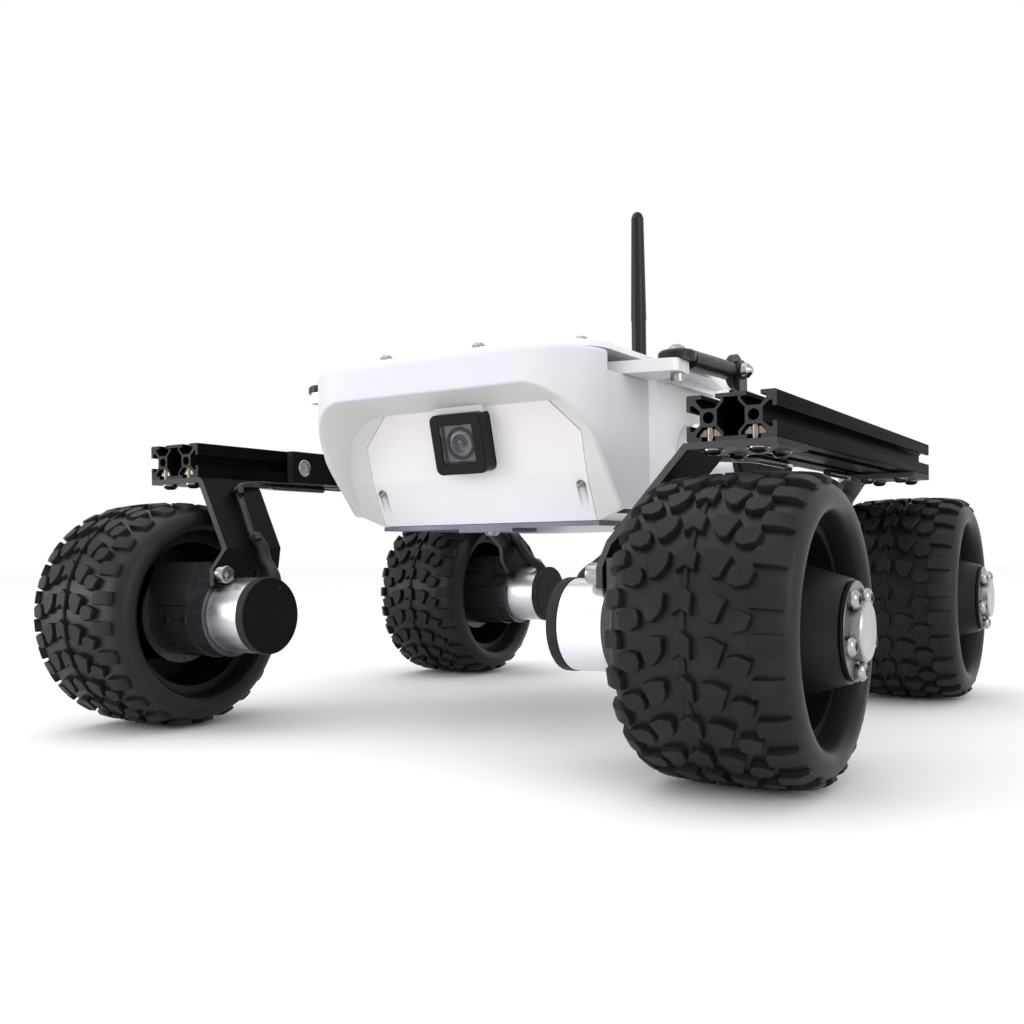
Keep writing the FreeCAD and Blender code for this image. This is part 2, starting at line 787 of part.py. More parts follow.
def button_bolt(center, axis, low, head, height):
    """Button-head bolt along an axis, with its nut below low and its head above head."""
    return turned([(low - nut_height, 0), (low - nut_height, nut_radius), (low, nut_radius),
                   (low, link_bolt_radius), (head, link_bolt_radius), (head, bolt_head_radius),
                   (head + height * head_edge_share, bolt_head_radius * head_side_share),
                   (head + height, bolt_head_radius * head_top_share),
                   (head + height, 0)], center, axis)


def make_link_bolts(side):
    """Upright bolt through ring and bar, and cross bolt through ring and arm."""
    top, ear = link_points(side)
    upright = button_bolt(Vector(top.x, top.y, 0), Z, bar_bottom - seat_gap,
                          top.z + ring_half + seat_gap, bolt_head_height)
    cross = button_bolt(Vector(0, ear.y, ear.z), X * side, abs(ear.x) - ring_half - seat_gap,
                        arm_x + arm_thickness + seat_gap, cross_head_height)
    return upright, cross


def make_rocker_plate():
    """Black plate on the left beam's inner face, bored for the pivot."""
    x1 = beam_in - seat_gap
    x0 = x1 - rocker_plate
    plate = box(x0, x1, -rocker_half, rocker_half, beam_base, beam_top)
    return plate.cut(rod(Vector(x0 - overrun, 0, pivot_z), Vector(x1 + overrun, 0, pivot_z),
                         pivot_radius + seat_gap))


def make_rocker_arm():
    """Left rocker arm: upright sheet with the link's ear, on a sleeve round the pivot."""
    ear = link_points(1)[1]
    x1 = arm_x + arm_thickness
    sheet_arm = slab_x([(-arm_foot_half, pivot_z), (arm_front, arm_top), (ear.y - arm_ear_radius, arm_top),
                        (ear.y - arm_ear_radius, ear.z), (ear.y + arm_ear_radius, ear.z),
                        (ear.y + arm_ear_radius, arm_top), (arm_rear, arm_top), (arm_foot_half, pivot_z)],
                       arm_x, x1)
    ring = rod(Vector(arm_x, ear.y, ear.z), Vector(x1, ear.y, ear.z), arm_ear_radius)
    foot = rod(Vector(arm_x, 0, pivot_z), Vector(x1, 0, pivot_z), arm_foot_half)
    sleeve = rod(Vector(x1, 0, pivot_z),
                 Vector(beam_in - rocker_plate - seat_gap * 2, 0, pivot_z), sleeve_outer)
    solid = sheet_arm.fuse([ring, foot, sleeve]).removeSplitter()
    solid = solid.cut(rod(Vector(arm_x - overrun, ear.y, ear.z), Vector(x1 + overrun, ear.y, ear.z),
                          link_bolt_radius + bolt_gap))
    return solid.cut(rod(Vector(arm_x - overrun, 0, pivot_z), Vector(beam_in, 0, pivot_z),
                         pivot_radius + seat_gap))


def make_pivot():
    """Left rocker pivot: flange on the body's side and the shaft through arm and rocker plate."""
    tip = beam_in - seat_gap * 2
    flange = body_half_width + pivot_flange_thickness
    return turned([(body_half_width + seat_gap, 0), (body_half_width + seat_gap, pivot_flange_radius),
                   (flange, pivot_flange_radius), (flange + pivot_flange_thickness, sleeve_outer),
                   (arm_x - seat_gap, sleeve_outer), (arm_x - seat_gap, pivot_radius),
                   (tip, pivot_radius), (tip, 0)], Vector(0, 0, pivot_z), X)


def make_angle():
    """Left side angle: a shelf with a clipped rear corner on a short upright leg."""
    x0 = body_half_width + seat_gap
    x1 = x0 + angle_reach
    low = angle_top - angle_thickness
    shelf = prism([Vector(x0, angle_front, low), Vector(x1, angle_front, low),
                   Vector(x1, angle_clip_y, low), Vector(x1 - angle_clip_x, angle_rear, low),
                   Vector(x0, angle_rear, low)], Vector(0, 0, angle_thickness))
    leg = box(x0, x0 + angle_thickness, angle_front, angle_rear, angle_top - angle_leg, angle_top)
    solid = shelf.fuse(leg).removeSplitter()
    x = x1 - angle_hole_inset
    return solid.cut(rod(Vector(x, angle_clip_y, low - overrun),
                         Vector(x, angle_clip_y, angle_top + overrun), angle_hole_radius))


def make_lead():
    """Front left motor lead, tied to the leg's inner face and led back under the beam."""
    slope = math.atan2(flange_inner - bend_x, beam_base - sheet / 2 - bend_z)

    def on_web(y, z, lift):
        return Vector(bend_x + (z - bend_z) * math.tan(slope) - lift / math.cos(slope), y, z)

    turn = math.radians(lead_exit)
    reach = cap_radius + seat_gap
    out = Vector(0, math.sin(turn), math.cos(turn))
    start = Vector((cap_start + can_start) / 2, -axle_y, axle_z).add(out * reach)
    joint = on_web(-axle_y + lead_run, bend_z, sleeve_radius + seat_gap * 2)
    thick = [start, start.add(out * lead_rise), joint]
    under = beam_base - lead_radius - seat_gap
    rear = -axle_y + flange_back
    inset = beam_in + lead_beam_inset
    thin = [joint, on_web(-axle_y + lead_run + lead_slack, (bend_z + beam_base) / 2, lead_rest),
            on_web(rear - lead_slack, beam_base - lead_slack, lead_rest + lead_bow),
            Vector(flange_inner - lead_radius, rear + lead_slack / 2, under - lead_rest),
            Vector(inset, (rear - rocker_half) / 2, under - seat_gap),
            Vector(inset, -rocker_half, under),
            Vector(inset, -rocker_half / 2, under)]
    return tube(thick, sleeve_radius).fuse(tube(thin, lead_radius)).removeSplitter()


# Wheels, each with tyre, rim and hub
wheel_center = Vector(wheel_x, -axle_y, axle_z)
for name, maker in (("tyre", make_tyre), ("rim", make_rim), ("hub", make_hub)):
    for place, solid in corners(maker(wheel_center)).items():
        save(name + "_" + place, solid)

# Motors with their clamps and leads, four alike in each node
motor_center = Vector(0, -axle_y, axle_z)
for name, solid in (("motor_cans", make_can(motor_center)), ("motor_caps", make_cap(motor_center)),
                    ("motor_clamps", make_clamp(motor_center)), ("motor_leads", make_lead())):
    save(name, whole(corners(solid).values()))

# Legs and beams
for place, solid in corners(make_leg()).items():
    save("leg_" + place, solid)
beam = make_beam()
save("beam_left", beam)
save("beam_right", mirror_x(beam))

# Body
visor, panel = make_visor_and_panel()
save("visor", visor)
save("face_panel", panel)
for name, solid in zip(("camera_bezel", "camera_glass", "camera_lens"), make_camera()):
    save(name, solid)
save("body_box", make_box())
save("top_cover", make_top())
save("bottom_plate", make_bottom())
save("antenna", make_antenna())

# Differential and rockers
bar, post = make_bar()
save("differential_bar", bar)
save("differential_post", post)
save("links", whole([make_link(1), make_link(-1)]))
save("link_bolts", whole(list(make_link_bolts(1)) + list(make_link_bolts(-1))))
for name, solid in (("rocker_plate", make_rocker_plate()), ("rocker_arm", make_rocker_arm()),
                    ("rocker_pivot", make_pivot())):
    save(name + "_left", solid)
    save(name + "_right", mirror_x(solid))
angle = make_angle()
save("side_angles", whole([angle, mirror_x(angle)]))
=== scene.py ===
"""Looks of the four-wheeled rover prototype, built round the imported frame.

The camera, the lamps and the finishes are in metres, the pieces in millimetres.
"""

import math

import bmesh
import bpy
from mathutils import Matrix, Vector


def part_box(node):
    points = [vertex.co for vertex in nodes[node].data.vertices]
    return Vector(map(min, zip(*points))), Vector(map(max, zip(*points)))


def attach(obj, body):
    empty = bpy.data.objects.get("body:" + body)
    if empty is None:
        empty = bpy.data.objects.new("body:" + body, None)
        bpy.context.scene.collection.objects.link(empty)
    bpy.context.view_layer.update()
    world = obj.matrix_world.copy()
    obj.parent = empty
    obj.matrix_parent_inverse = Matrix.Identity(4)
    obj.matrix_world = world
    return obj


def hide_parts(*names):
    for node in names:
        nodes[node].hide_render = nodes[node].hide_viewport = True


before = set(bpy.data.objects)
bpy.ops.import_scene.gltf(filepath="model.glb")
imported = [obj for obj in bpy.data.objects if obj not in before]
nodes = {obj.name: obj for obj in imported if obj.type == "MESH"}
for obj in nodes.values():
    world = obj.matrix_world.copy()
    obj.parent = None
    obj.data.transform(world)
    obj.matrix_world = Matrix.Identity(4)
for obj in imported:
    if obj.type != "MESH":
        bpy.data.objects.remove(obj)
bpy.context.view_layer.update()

MM = 0.001
SIDES = {"left": 1, "right": -1}
ENDS = {"front": -1, "rear": 1}
WHEEL_SIGNS = [(x_sign, y_sign) for x_sign in SIDES.values() for y_sign in ENDS.values()]
SQUARE = ((-1, -1), (1, -1), (1, 1), (-1, 1))

# Camera, solved from the photograph
CAMERA_PLACE = (0.3364, -0.5830, 0.0979)
CAMERA_YAW, CAMERA_PITCH, CAMERA_ROLL = 31.767, -0.549, -0.798
IMAGE_SIZE = 1024
FOCAL_PIXELS = 1079.39
PRINCIPAL_PIXEL = (523.47, 562.70)
FILM_WIDTH = 36
CLIP_RANGE = (0.01, 50)


def corners(node):
    """Low and high corner of a CAD node, in millimetres."""
    return [Vector(corner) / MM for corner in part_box(node)]


def make_camera():
    """Camera at the photograph's place, with its lens and its shift."""
    yaw, pitch, roll = (math.radians(a) for a in (CAMERA_YAW, CAMERA_PITCH, CAMERA_ROLL))
    ahead = Vector((-math.sin(yaw) * math.cos(pitch), math.cos(yaw) * math.cos(pitch), math.sin(pitch)))
    level = Vector((math.cos(yaw), math.sin(yaw), 0))
    upright = level.cross(ahead)
    right = level * math.cos(roll) + upright * math.sin(roll)
    up = upright * math.cos(roll) - level * math.sin(roll)
    data = bpy.data.cameras.new("camera")
    data.sensor_width = FILM_WIDTH
    data.lens = FOCAL_PIXELS * FILM_WIDTH / IMAGE_SIZE
    data.shift_x = (IMAGE_SIZE / 2 - PRINCIPAL_PIXEL[0]) / IMAGE_SIZE
    data.shift_y = (PRINCIPAL_PIXEL[1] - IMAGE_SIZE / 2) / IMAGE_SIZE
    data.clip_start, data.clip_end = CLIP_RANGE
    camera = bpy.data.objects.new("camera", data)
    turn = Matrix((right, up, -ahead)).transposed().to_4x4()
    camera.matrix_world = Matrix.Translation(CAMERA_PLACE) @ turn
    bpy.context.scene.collection.objects.link(camera)
    bpy.context.scene.camera = camera


class Nodes:
    """Short way to build a material's node tree."""

    def __init__(self, name):
        self.material = bpy.data.materials.new(name)
        self.material.use_nodes = True
        self.tree = self.material.node_tree
        self.shader = self.tree.nodes["Principled BSDF"]
        self.place = self.add("ShaderNodeTexCoord").outputs["Object"]

    def add(self, kind, inputs=None, **settings):
        """New node with its settings, its inputs linked or set."""
        node = self.tree.nodes.new(kind)
        for key, value in settings.items():
            setattr(node, key, value)
        for key, value in (inputs or {}).items():
            self.set(node.inputs[key], value)
        return node

    def set(self, socket, value):
        """Links a socket to another one, or sets its own value."""
        if isinstance(value, bpy.types.NodeSocket):
            self.tree.links.new(value, socket)
        else:
            socket.default_value = value

    def stretched(self, scale):
        """The object's own coordinates, scaled along each axis."""
        return self.add("ShaderNodeMapping", {"Vector": self.place, "Scale": scale}).outputs["Vector"]

    def split(self, vector):
        """The X, Y and Z of a vector."""
        return self.add("ShaderNodeSeparateXYZ", {"Vector": vector}).outputs

    def noise(self, scale, detail, stretch=(1, 1, 1)):
        """Noise fixed to the object."""
        return self.add("ShaderNodeTexNoise", {"Vector": self.stretched(stretch), "Scale": scale,
                                               "Detail": detail}).outputs["Fac"]

    def ramp(self, value, stops):
        """Value to grey, through (place, grey) stops."""
        node = self.add("ShaderNodeValToRGB", {"Fac": value})
        for band, (place, grey) in zip(node.color_ramp.elements, stops):
            band.position = place
            band.color = (grey, grey, grey, 1)
        return node.outputs["Color"]

    def mix(self, share, first, second):
        """Colour between two others, by a share."""
        node = self.add("ShaderNodeMix", data_type="RGBA")
        for socket, value in zip((node.inputs[0], node.inputs[6], node.inputs[7]), (share, first, second)):
            self.set(socket, value + (1,) if isinstance(value, tuple) else value)
        return node.outputs[2]

    def math(self, operation, *values):
        """Result of one sum on values or sockets."""
        node = self.add("ShaderNodeMath", operation=operation)
        for socket, value in zip(node.inputs, values):
            self.set(socket, value)
        return node.outputs[0]

    def length(self, *parts):
        """Length of a vector in a plane, from its two parts."""
        squares = [self.math("POWER", self.math("ABSOLUTE", part), 2.0) for part in parts]
        return self.math("SQRT", self.math("ADD", *squares))

    def bump(self, height, strength, distance):
        """Normal bent by a height."""
        return self.add("ShaderNodeBump", {"Height": height, "Strength": strength,
                                           "Distance": distance}).outputs["Normal"]

    def clouded(self, cloud, tints):
        """Colour between two tints; the cloud is a noise's scale, its detail and perhaps its stretch."""
        return self.mix(self.noise(*cloud), *tints)

    def spread(self, noise, gloss):
        """Roughness between two values, by a noise."""
        return self.ramp(noise, ((0.3, gloss[0]), (0.7, gloss[1])))

    def facing(self, axis, stops):
        """Nought to one between two stops, as the surface turns to face along an axis."""
        part = self.split(self.add("ShaderNodeTexCoord").outputs["Normal"])[axis]
        return self.ramp(self.math("ABSOLUTE", part), ((stops[0], 0.0), (stops[1], 1.0)))

    def finish(self, **sockets):
        """Sets the shader's sockets; an underscore stands for a space in a socket's name."""
        for key, value in sockets.items():
            self.set(self.shader.inputs[key.replace("_", " ")], value)
        return self.material


# Depths of the bumps
FINE_DEPTH, COARSE_DEPTH, WAVY_DEPTH = 0.0002, 0.0003, 0.001

# Hood seen from above: half width, front, corner radius and half the wall
visor_low, visor_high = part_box("visor")
HOOD_HALF, HOOD_FRONT = visor_high[0], -visor_low[1]
HOOD_CORNER, HOOD_WALL_HALF = 0.0316, 0.0018


def painted_light_inside_hood(n):
    """One on the hood's inner faces, which get painted warm light, and nought outside, from the distance to
    its outline.
    """
    place = n.split(n.place)
    across = n.math("SUBTRACT", n.math("ABSOLUTE", place["X"]), HOOD_HALF - HOOD_CORNER)
    ahead = n.math("SUBTRACT", n.math("MULTIPLY", place["Y"], -1.0), HOOD_FRONT - HOOD_CORNER)
    corner = n.length(n.math("MAXIMUM", across, 0.0), n.math("MAXIMUM", ahead, 0.0))
    edge = n.math("MINIMUM", n.math("MAXIMUM", across, ahead), 0.0)
    deep = n.math("SUBTRACT", HOOD_CORNER - HOOD_WALL_HALF, n.math("ADD", corner, edge))
    return n.math("GREATER_THAN", deep, 0.0)


# Screw channels of the face panel: middle across, top and foot over the ground, half width
CHANNEL_X, CHANNEL_TOP, CHANNEL_FOOT, CHANNEL_HALF = 0.066, 0.1326, 0.1215, 0.0030


def channel_shade(n):
    """Shade of the channel below each panel screw, deepest at its top and its outer edge."""
    place = n.split(n.place)
    across = n.math("SUBTRACT", n.math("ABSOLUTE", place["X"]), CHANNEL_X)
    level = n.math("MINIMUM", n.math("MAXIMUM", place["Z"], CHANNEL_FOOT), CHANNEL_TOP)
    away = n.math("DIVIDE", n.length(across, n.math("SUBTRACT", place["Z"], level)), CHANNEL_HALF)
    inside = n.ramp(away, ((0.80, 1.0), (1.0, 0.0)))
    rim = n.ramp(away, ((0.25, 0.35), (0.80, 1.0)))
    depth = n.math("DIVIDE", n.math("SUBTRACT", level, CHANNEL_FOOT), CHANNEL_TOP - CHANNEL_FOOT)
    return n.math("MULTIPLY", n.math("MULTIPLY", inside, n.ramp(depth, ((0.0, 0.06), (1.0, 1.0)))), rim)


# Heights over the ground between which painted warm light comes onto the face panel's white
PAINTED_LIGHT_FOOT, PAINTED_LIGHT_TOP = 0.128, 0.158


def printed_white():
    """Printed hood: fine layers in a cool white; its inner faces are painted lighter and warmer, painted
    light inside the hood.
    """
    n = Nodes("printed white")
    layers = n.noise(9, 4, (4, 4, 260))
    cloud = n.ramp(n.noise(14, 2), ((0.3, 0.0), (0.7, 1.0)))
    tint = n.mix(cloud, (0.665, 0.67, 0.72), (0.705, 0.70, 0.745))
    tint = n.mix(n.ramp(layers, ((0.35, 0.0), (0.65, 0.4))), tint, (0.685, 0.68, 0.705))
    # Inner faces: painted warm light, lighter and warmer than the outside
    tint = n.mix(painted_light_inside_hood(n), tint, (0.74, 0.725, 0.715))
    return n.finish(Base_Color=tint, Roughness=n.spread(layers, (0.40, 0.50)),
                    Normal=n.bump(layers, 0.12, COARSE_DEPTH), Specular_IOR_Level=0.35)


def printed_panel():
    """Printed face panel: fine layers, painted warm light towards its top, with its screw channels shaded.
    """
    n = Nodes("printed panel")
    layers = n.noise(9, 5, (3, 3, 330))
    cloud = n.ramp(n.noise(16, 2), ((0.35, 0.0), (0.65, 1.0)))
    tint = n.mix(cloud, (0.88, 0.88, 0.915), (0.90, 0.90, 0.94))
    tint = n.mix(n.ramp(layers, ((0.4, 0.0), (0.7, 0.35))), tint, (0.88, 0.87, 0.895))
    # Painted warm light, growing towards the panel's top under the hood
    painted_warm_light = n.ramp(n.split(n.place)["Z"], ((PAINTED_LIGHT_FOOT, 0.0), (PAINTED_LIGHT_TOP, 0.85)))
    tint = n.mix(painted_warm_light, tint, (0.90, 0.865, 0.84))
    tint = n.mix(channel_shade(n), tint, (0.16, 0.145, 0.135))
    return n.finish(Base_Color=tint, Roughness=0.5, Normal=n.bump(layers, 0.12, COARSE_DEPTH),
                    Specular_IOR_Level=0.3)


def cover_white():
    """Glossy painted cover."""
    n = Nodes("gloss cover")
    return n.finish(Base_Color=n.clouded((20, 2), ((0.84, 0.84, 0.90), (0.90, 0.90, 0.94))), Roughness=0.16,
                    Normal=n.bump(n.noise(35, 2), 0.03, WAVY_DEPTH), Coat_Weight=0.5, Coat_Roughness=0.05)


def body_white():
    """Plain white panels of the body, with warm and cool tints in large clouds that are painted reflections
    of the surroundings.
    """
    n = Nodes("body panel")
    # Warm and cool tints: painted reflections on the white
    tint = n.clouded((9, 2, (1, 1, 0.6)), ((0.97, 0.915, 0.91), (0.90, 0.92, 0.98)))
    return n.finish(Base_Color=tint, Roughness=0.3, Normal=n.bump(n.noise(700, 2), 0.05, FINE_DEPTH),
                    Specular_IOR_Level=0.5)


def tread():
    """Rubber of the tread's blocks, with dust in clouds."""
    n = Nodes("tyre tread")
    dust = n.noise(60, 4)
    cloud = n.ramp(dust, ((0.45, 0.0), (0.75, 1.0)))
    return n.finish(Base_Color=n.mix(cloud, (0.010, 0.010, 0.0125), (0.019, 0.0185, 0.022)),
                    Roughness=n.spread(dust, (0.46, 0.60)),
                    Normal=n.bump(n.noise(900, 3), 0.2, COARSE_DEPTH), Specular_IOR_Level=0.20)


def carcass():
    """Rubber between the tread's blocks, darker and smoother than they are."""
    n = Nodes("tyre carcass")
    dust = n.noise(45, 4)
    cloud = n.ramp(dust, ((0.4, 0.0), (0.8, 1.0)))
    return n.finish(Base_Color=n.mix(cloud, (0.005, 0.005, 0.0065), (0.011, 0.0105, 0.012)),
                    Roughness=n.spread(dust, (0.38, 0.50)),
                    Normal=n.bump(n.noise(1200, 2), 0.10, FINE_DEPTH), Specular_IOR_Level=0.30)


def rim_black():
    """Moulded plastic with a fine grain."""
    n = Nodes("rim black")
    return n.finish(Base_Color=n.clouded((40, 3), ((0.005, 0.005, 0.006), (0.009, 0.009, 0.010))),
                    Roughness=n.spread(n.noise(120, 3), (0.34, 0.46)),
                    Normal=n.bump(n.noise(900, 2), 0.08, FINE_DEPTH), Specular_IOR_Level=0.25)


def cap_black():
    """Moulded cap, darker on its flat ends than round its side."""
    n = Nodes("cap black")
    side = n.clouded((80, 2), ((0.024, 0.024, 0.026), (0.034, 0.034, 0.036)))
    return n.finish(Base_Color=n.mix(n.facing("X", (0.5, 0.9)), side, (0.0025, 0.0025, 0.0025)),
                    Roughness=n.spread(n.noise(300, 2), (0.42, 0.55)), Specular_IOR_Level=0.10)


def sheet_black():
    """Coated sheet, lighter on its cut edges."""
    n = Nodes("coated sheet")
    coat = n.clouded((60, 3), ((0.004, 0.004, 0.005), (0.008, 0.008, 0.009)))
    return n.finish(Base_Color=n.mix(n.facing("Y", (0.35, 0.6)), coat, (0.075, 0.075, 0.08)),
                    Roughness=n.spread(n.noise(420, 2), (0.36, 0.5)),
                    Normal=n.bump(n.noise(1500, 2), 0.12, FINE_DEPTH), Specular_IOR_Level=0.06)


def profile_black():
    """Drawn and anodised profile, lighter on its sawn ends."""
    n = Nodes("anodised profile")
    drawn = n.noise(300, 3, (1, 0.03, 1))
    coat = n.clouded((60, 3), ((0.003, 0.003, 0.0035), (0.007, 0.007, 0.008)))
    return n.finish(Base_Color=n.mix(n.facing("Y", (0.6, 0.9)), coat, (0.058, 0.056, 0.059)),
                    Roughness=n.spread(drawn, (0.26, 0.38)), Normal=n.bump(drawn, 0.06, FINE_DEPTH),
                    Specular_IOR_Level=0.004)


def bar_silver():
    """Laser cut bar, with the ripples of the cut down its edges."""
    n = Nodes("laser cut bar")
    wave = n.add("ShaderNodeTexWave", {"Vector": n.stretched((1, 1, 0.02)), "Scale": 420,
                                       "Distortion": 2.5, "Detail": 2, "Detail Scale": 1.5},
                 bands_direction="X").outputs["Fac"]
    tint = n.mix(n.ramp(wave, ((0.2, 0.0), (0.8, 1.0))), (0.76, 0.76, 0.79), (0.90, 0.90, 0.92))
    return n.finish(Base_Color=tint, Metallic=0.2, Roughness=0.42, Normal=n.bump(wave, 0.10, FINE_DEPTH))


def lens_glass():
    """Dark coated glass at the lens's front."""
    n = Nodes("lens glass")
    return n.finish(Base_Color=n.clouded((90, 2), ((0.010, 0.012, 0.018), (0.02, 0.022, 0.03))),
                    Roughness=0.05, Coat_Weight=1.0, Coat_Roughness=0.02)


def window():
    """Clear pane in front of the camera."""
    n = Nodes("camera window")
    return n.finish(Base_Color=n.clouded((60, 1), ((0.86, 0.86, 0.88), (0.92, 0.92, 0.93))), Roughness=0.03,
                    Transmission_Weight=1.0, IOR=1.3)


def lead_black():
    """Woven cable sleeve."""
    n = Nodes("cable sleeve")
    weave = n.add("ShaderNodeTexVoronoi", {"Vector": n.place, "Scale": 1300}).outputs["Distance"]
    return n.finish(Base_Color=n.clouded((120, 3), ((0.005, 0.005, 0.006), (0.012, 0.012, 0.014))),
                    Roughness=0.45, Normal=n.bump(weave, 0.35, COARSE_DEPTH), Specular_IOR_Level=0.3)


# Plain finishes: material, cloud of the colour and its two tints, noise of the roughness and its two values,
# further sockets
SPECKLED = {
    "bolt_steel": ("polished steel", (200, 2), ((0.30, 0.295, 0.29), (0.46, 0.45, 0.44)),
                   (500, 2), (0.12, 0.24), {"Metallic": 1.0}),
    "screw_black": ("blackened screw", (200, 2), ((0.012, 0.012, 0.012), (0.025, 0.025, 0.025)),
                    (500, 2), (0.18, 0.30), {"Metallic": 0.4}),
    "nut_bronze": ("worn nut", (400, 3), ((0.16, 0.125, 0.095), (0.40, 0.34, 0.28)),
                   (500, 2), (0.22, 0.42), {"Metallic": 1.0}),
    "link_black": ("link black", (90, 3), ((0.005, 0.005, 0.005), (0.010, 0.0095, 0.0095)),
                   (300, 2), (0.26, 0.42), {"Specular_IOR_Level": 0.3}),
    "bezel_black": ("bezel black", (90, 2), ((0.002, 0.002, 0.003), (0.004, 0.004, 0.005)),
                    (200, 2), (0.18, 0.28), {"Specular_IOR_Level": 0.2}),
    "lens_black": ("lens parts", (90, 2), ((0.02, 0.02, 0.022), (0.035, 0.034, 0.036)),
                   (200, 2), (0.3, 0.42), {}),
    # Lens rings: lighter grey that paints the reflections in the lens
    "lens_reflection_grey": ("lens rings", (90, 2), ((0.16, 0.17, 0.19), (0.24, 0.25, 0.28)),
                  (200, 2), (0.25, 0.35), {"Metallic": 0.6}),
    "sensor_grey": ("sensor plate", (60, 2), ((0.16, 0.175, 0.21), (0.24, 0.25, 0.29)),
                    (150, 2), (0.3, 0.4), {}),
    "antenna_black": ("antenna sleeve", (60, 2), ((0.004, 0.004, 0.005), (0.008, 0.008, 0.010)),
                      (300, 2), (0.24, 0.34), {"Specular_IOR_Level": 0.3}),
}

# Metals with fine lines: material, cloud of the colour and its two tints, scale and stretch of the lines,
# the two values of the roughness, strength of the bump, further sockets
BRUSHED = {
    "hub_grey": ("hub grey", (60, 3), ((0.36, 0.36, 0.37), (0.48, 0.48, 0.50)),
                 300, 0.05, (0.26, 0.38), 0.05, {"Metallic": 1.0}),
    "hub_dark": ("hub plate", (60, 3), ((0.10, 0.107, 0.125), (0.17, 0.175, 0.20)),
                 300, 0.05, (0.22, 0.34), 0.05, {"Metallic": 1.0}),
    "can_silver": ("motor can", (50, 3), ((0.84, 0.85, 0.90), (0.93, 0.94, 0.98)),
                   160, 0.03, (0.26, 0.34), 0.0, {"Metallic": 1.0}),
    "clamp_black": ("anodised clamp", (80, 3), ((0.060, 0.060, 0.068), (0.090, 0.088, 0.099)),
                    260, 0.05, (0.20, 0.32), 0.06, {"Metallic": 0.7, "Specular_IOR_Level": 0.4}),
    "plate_silver": ("bare aluminium", (12, 2), ((0.76, 0.77, 0.80), (0.84, 0.84, 0.86)),
                     200, 0.06, (0.26, 0.34), 0.03, {"Metallic": 0.75}),
    "plate_dark": ("floor plate", (25, 2), ((0.10, 0.11, 0.14), (0.26, 0.28, 0.34)),
                   200, 0.06, (0.26, 0.34), 0.03, {"Metallic": 0.7}),
}


def speckled(name, cloud, tints, flecks, gloss, sockets):
    """Finish with a clouded colour and a spread of roughness."""
    n = Nodes(name)
    roughness = n.spread(n.noise(*flecks), gloss)
    return n.finish(Base_Color=n.clouded(cloud, tints), Roughness=roughness, **sockets)


def brushed(name, cloud, tints, scale, stretch, gloss, strength, sockets):
    """Finish with a clouded colour and fine lines along X in its roughness and its bump."""
    n = Nodes(name)
    lines = n.noise(scale, 3, (stretch, 1, 1))
    if strength:
        sockets = sockets | {"Normal": n.bump(lines, strength, FINE_DEPTH)}
    return n.finish(Base_Color=n.clouded(cloud, tints), Roughness=n.spread(lines, gloss), **sockets)


def make_materials():
    """All finishes by name."""
    special = (printed_white, printed_panel, cover_white, body_white, tread, carcass, rim_black, cap_black,
               sheet_black, profile_black, bar_silver, lens_glass, window, lead_black)
    made = {make.__name__: make() for make in special}
    made.update({name: speckled(*values) for name, values in SPECKLED.items()})
    made.update({name: brushed(*values) for name, values in BRUSHED.items()})
    return made


materials = make_materials()
NODE_FINISH = {
    "rim": "rim_black", "hub": "hub_grey", "motor_cans": "can_silver", "motor_caps": "cap_black",
    "motor_clamps": "clamp_black", "motor_leads": "lead_black", "leg": "sheet_black",
    "beam": "profile_black", "visor": "printed_white", "face_panel": "printed_panel",
    "camera_bezel": "bezel_black", "camera_glass": "window", "camera_lens": "lens_black",
    "body_box": "body_white", "top_cover": "cover_white", "bottom_plate": "plate_dark",
    "antenna": "antenna_black", "differential_bar": "bar_silver", "differential_post": "bolt_steel",
    "links": "link_black", "link_bolts": "bolt_steel", "rocker_plate": "cap_black",
    "rocker_arm": "link_black", "rocker_pivot": "can_silver", "side_angles": "plate_silver",
    "tyre": "carcass",
}


def dress_nodes():
    """Gives each CAD node its finish."""
    for name, node in nodes.items():
        finish = next(f for start, f in NODE_FINISH.items() if name == start or name.startswith(start + "_"))
        node.data.materials.clear()
        node.data.materials.append(materials[finish])


# Edges sharper than this stay sharp under smooth shading, in degrees
SHARP_ANGLE = 35


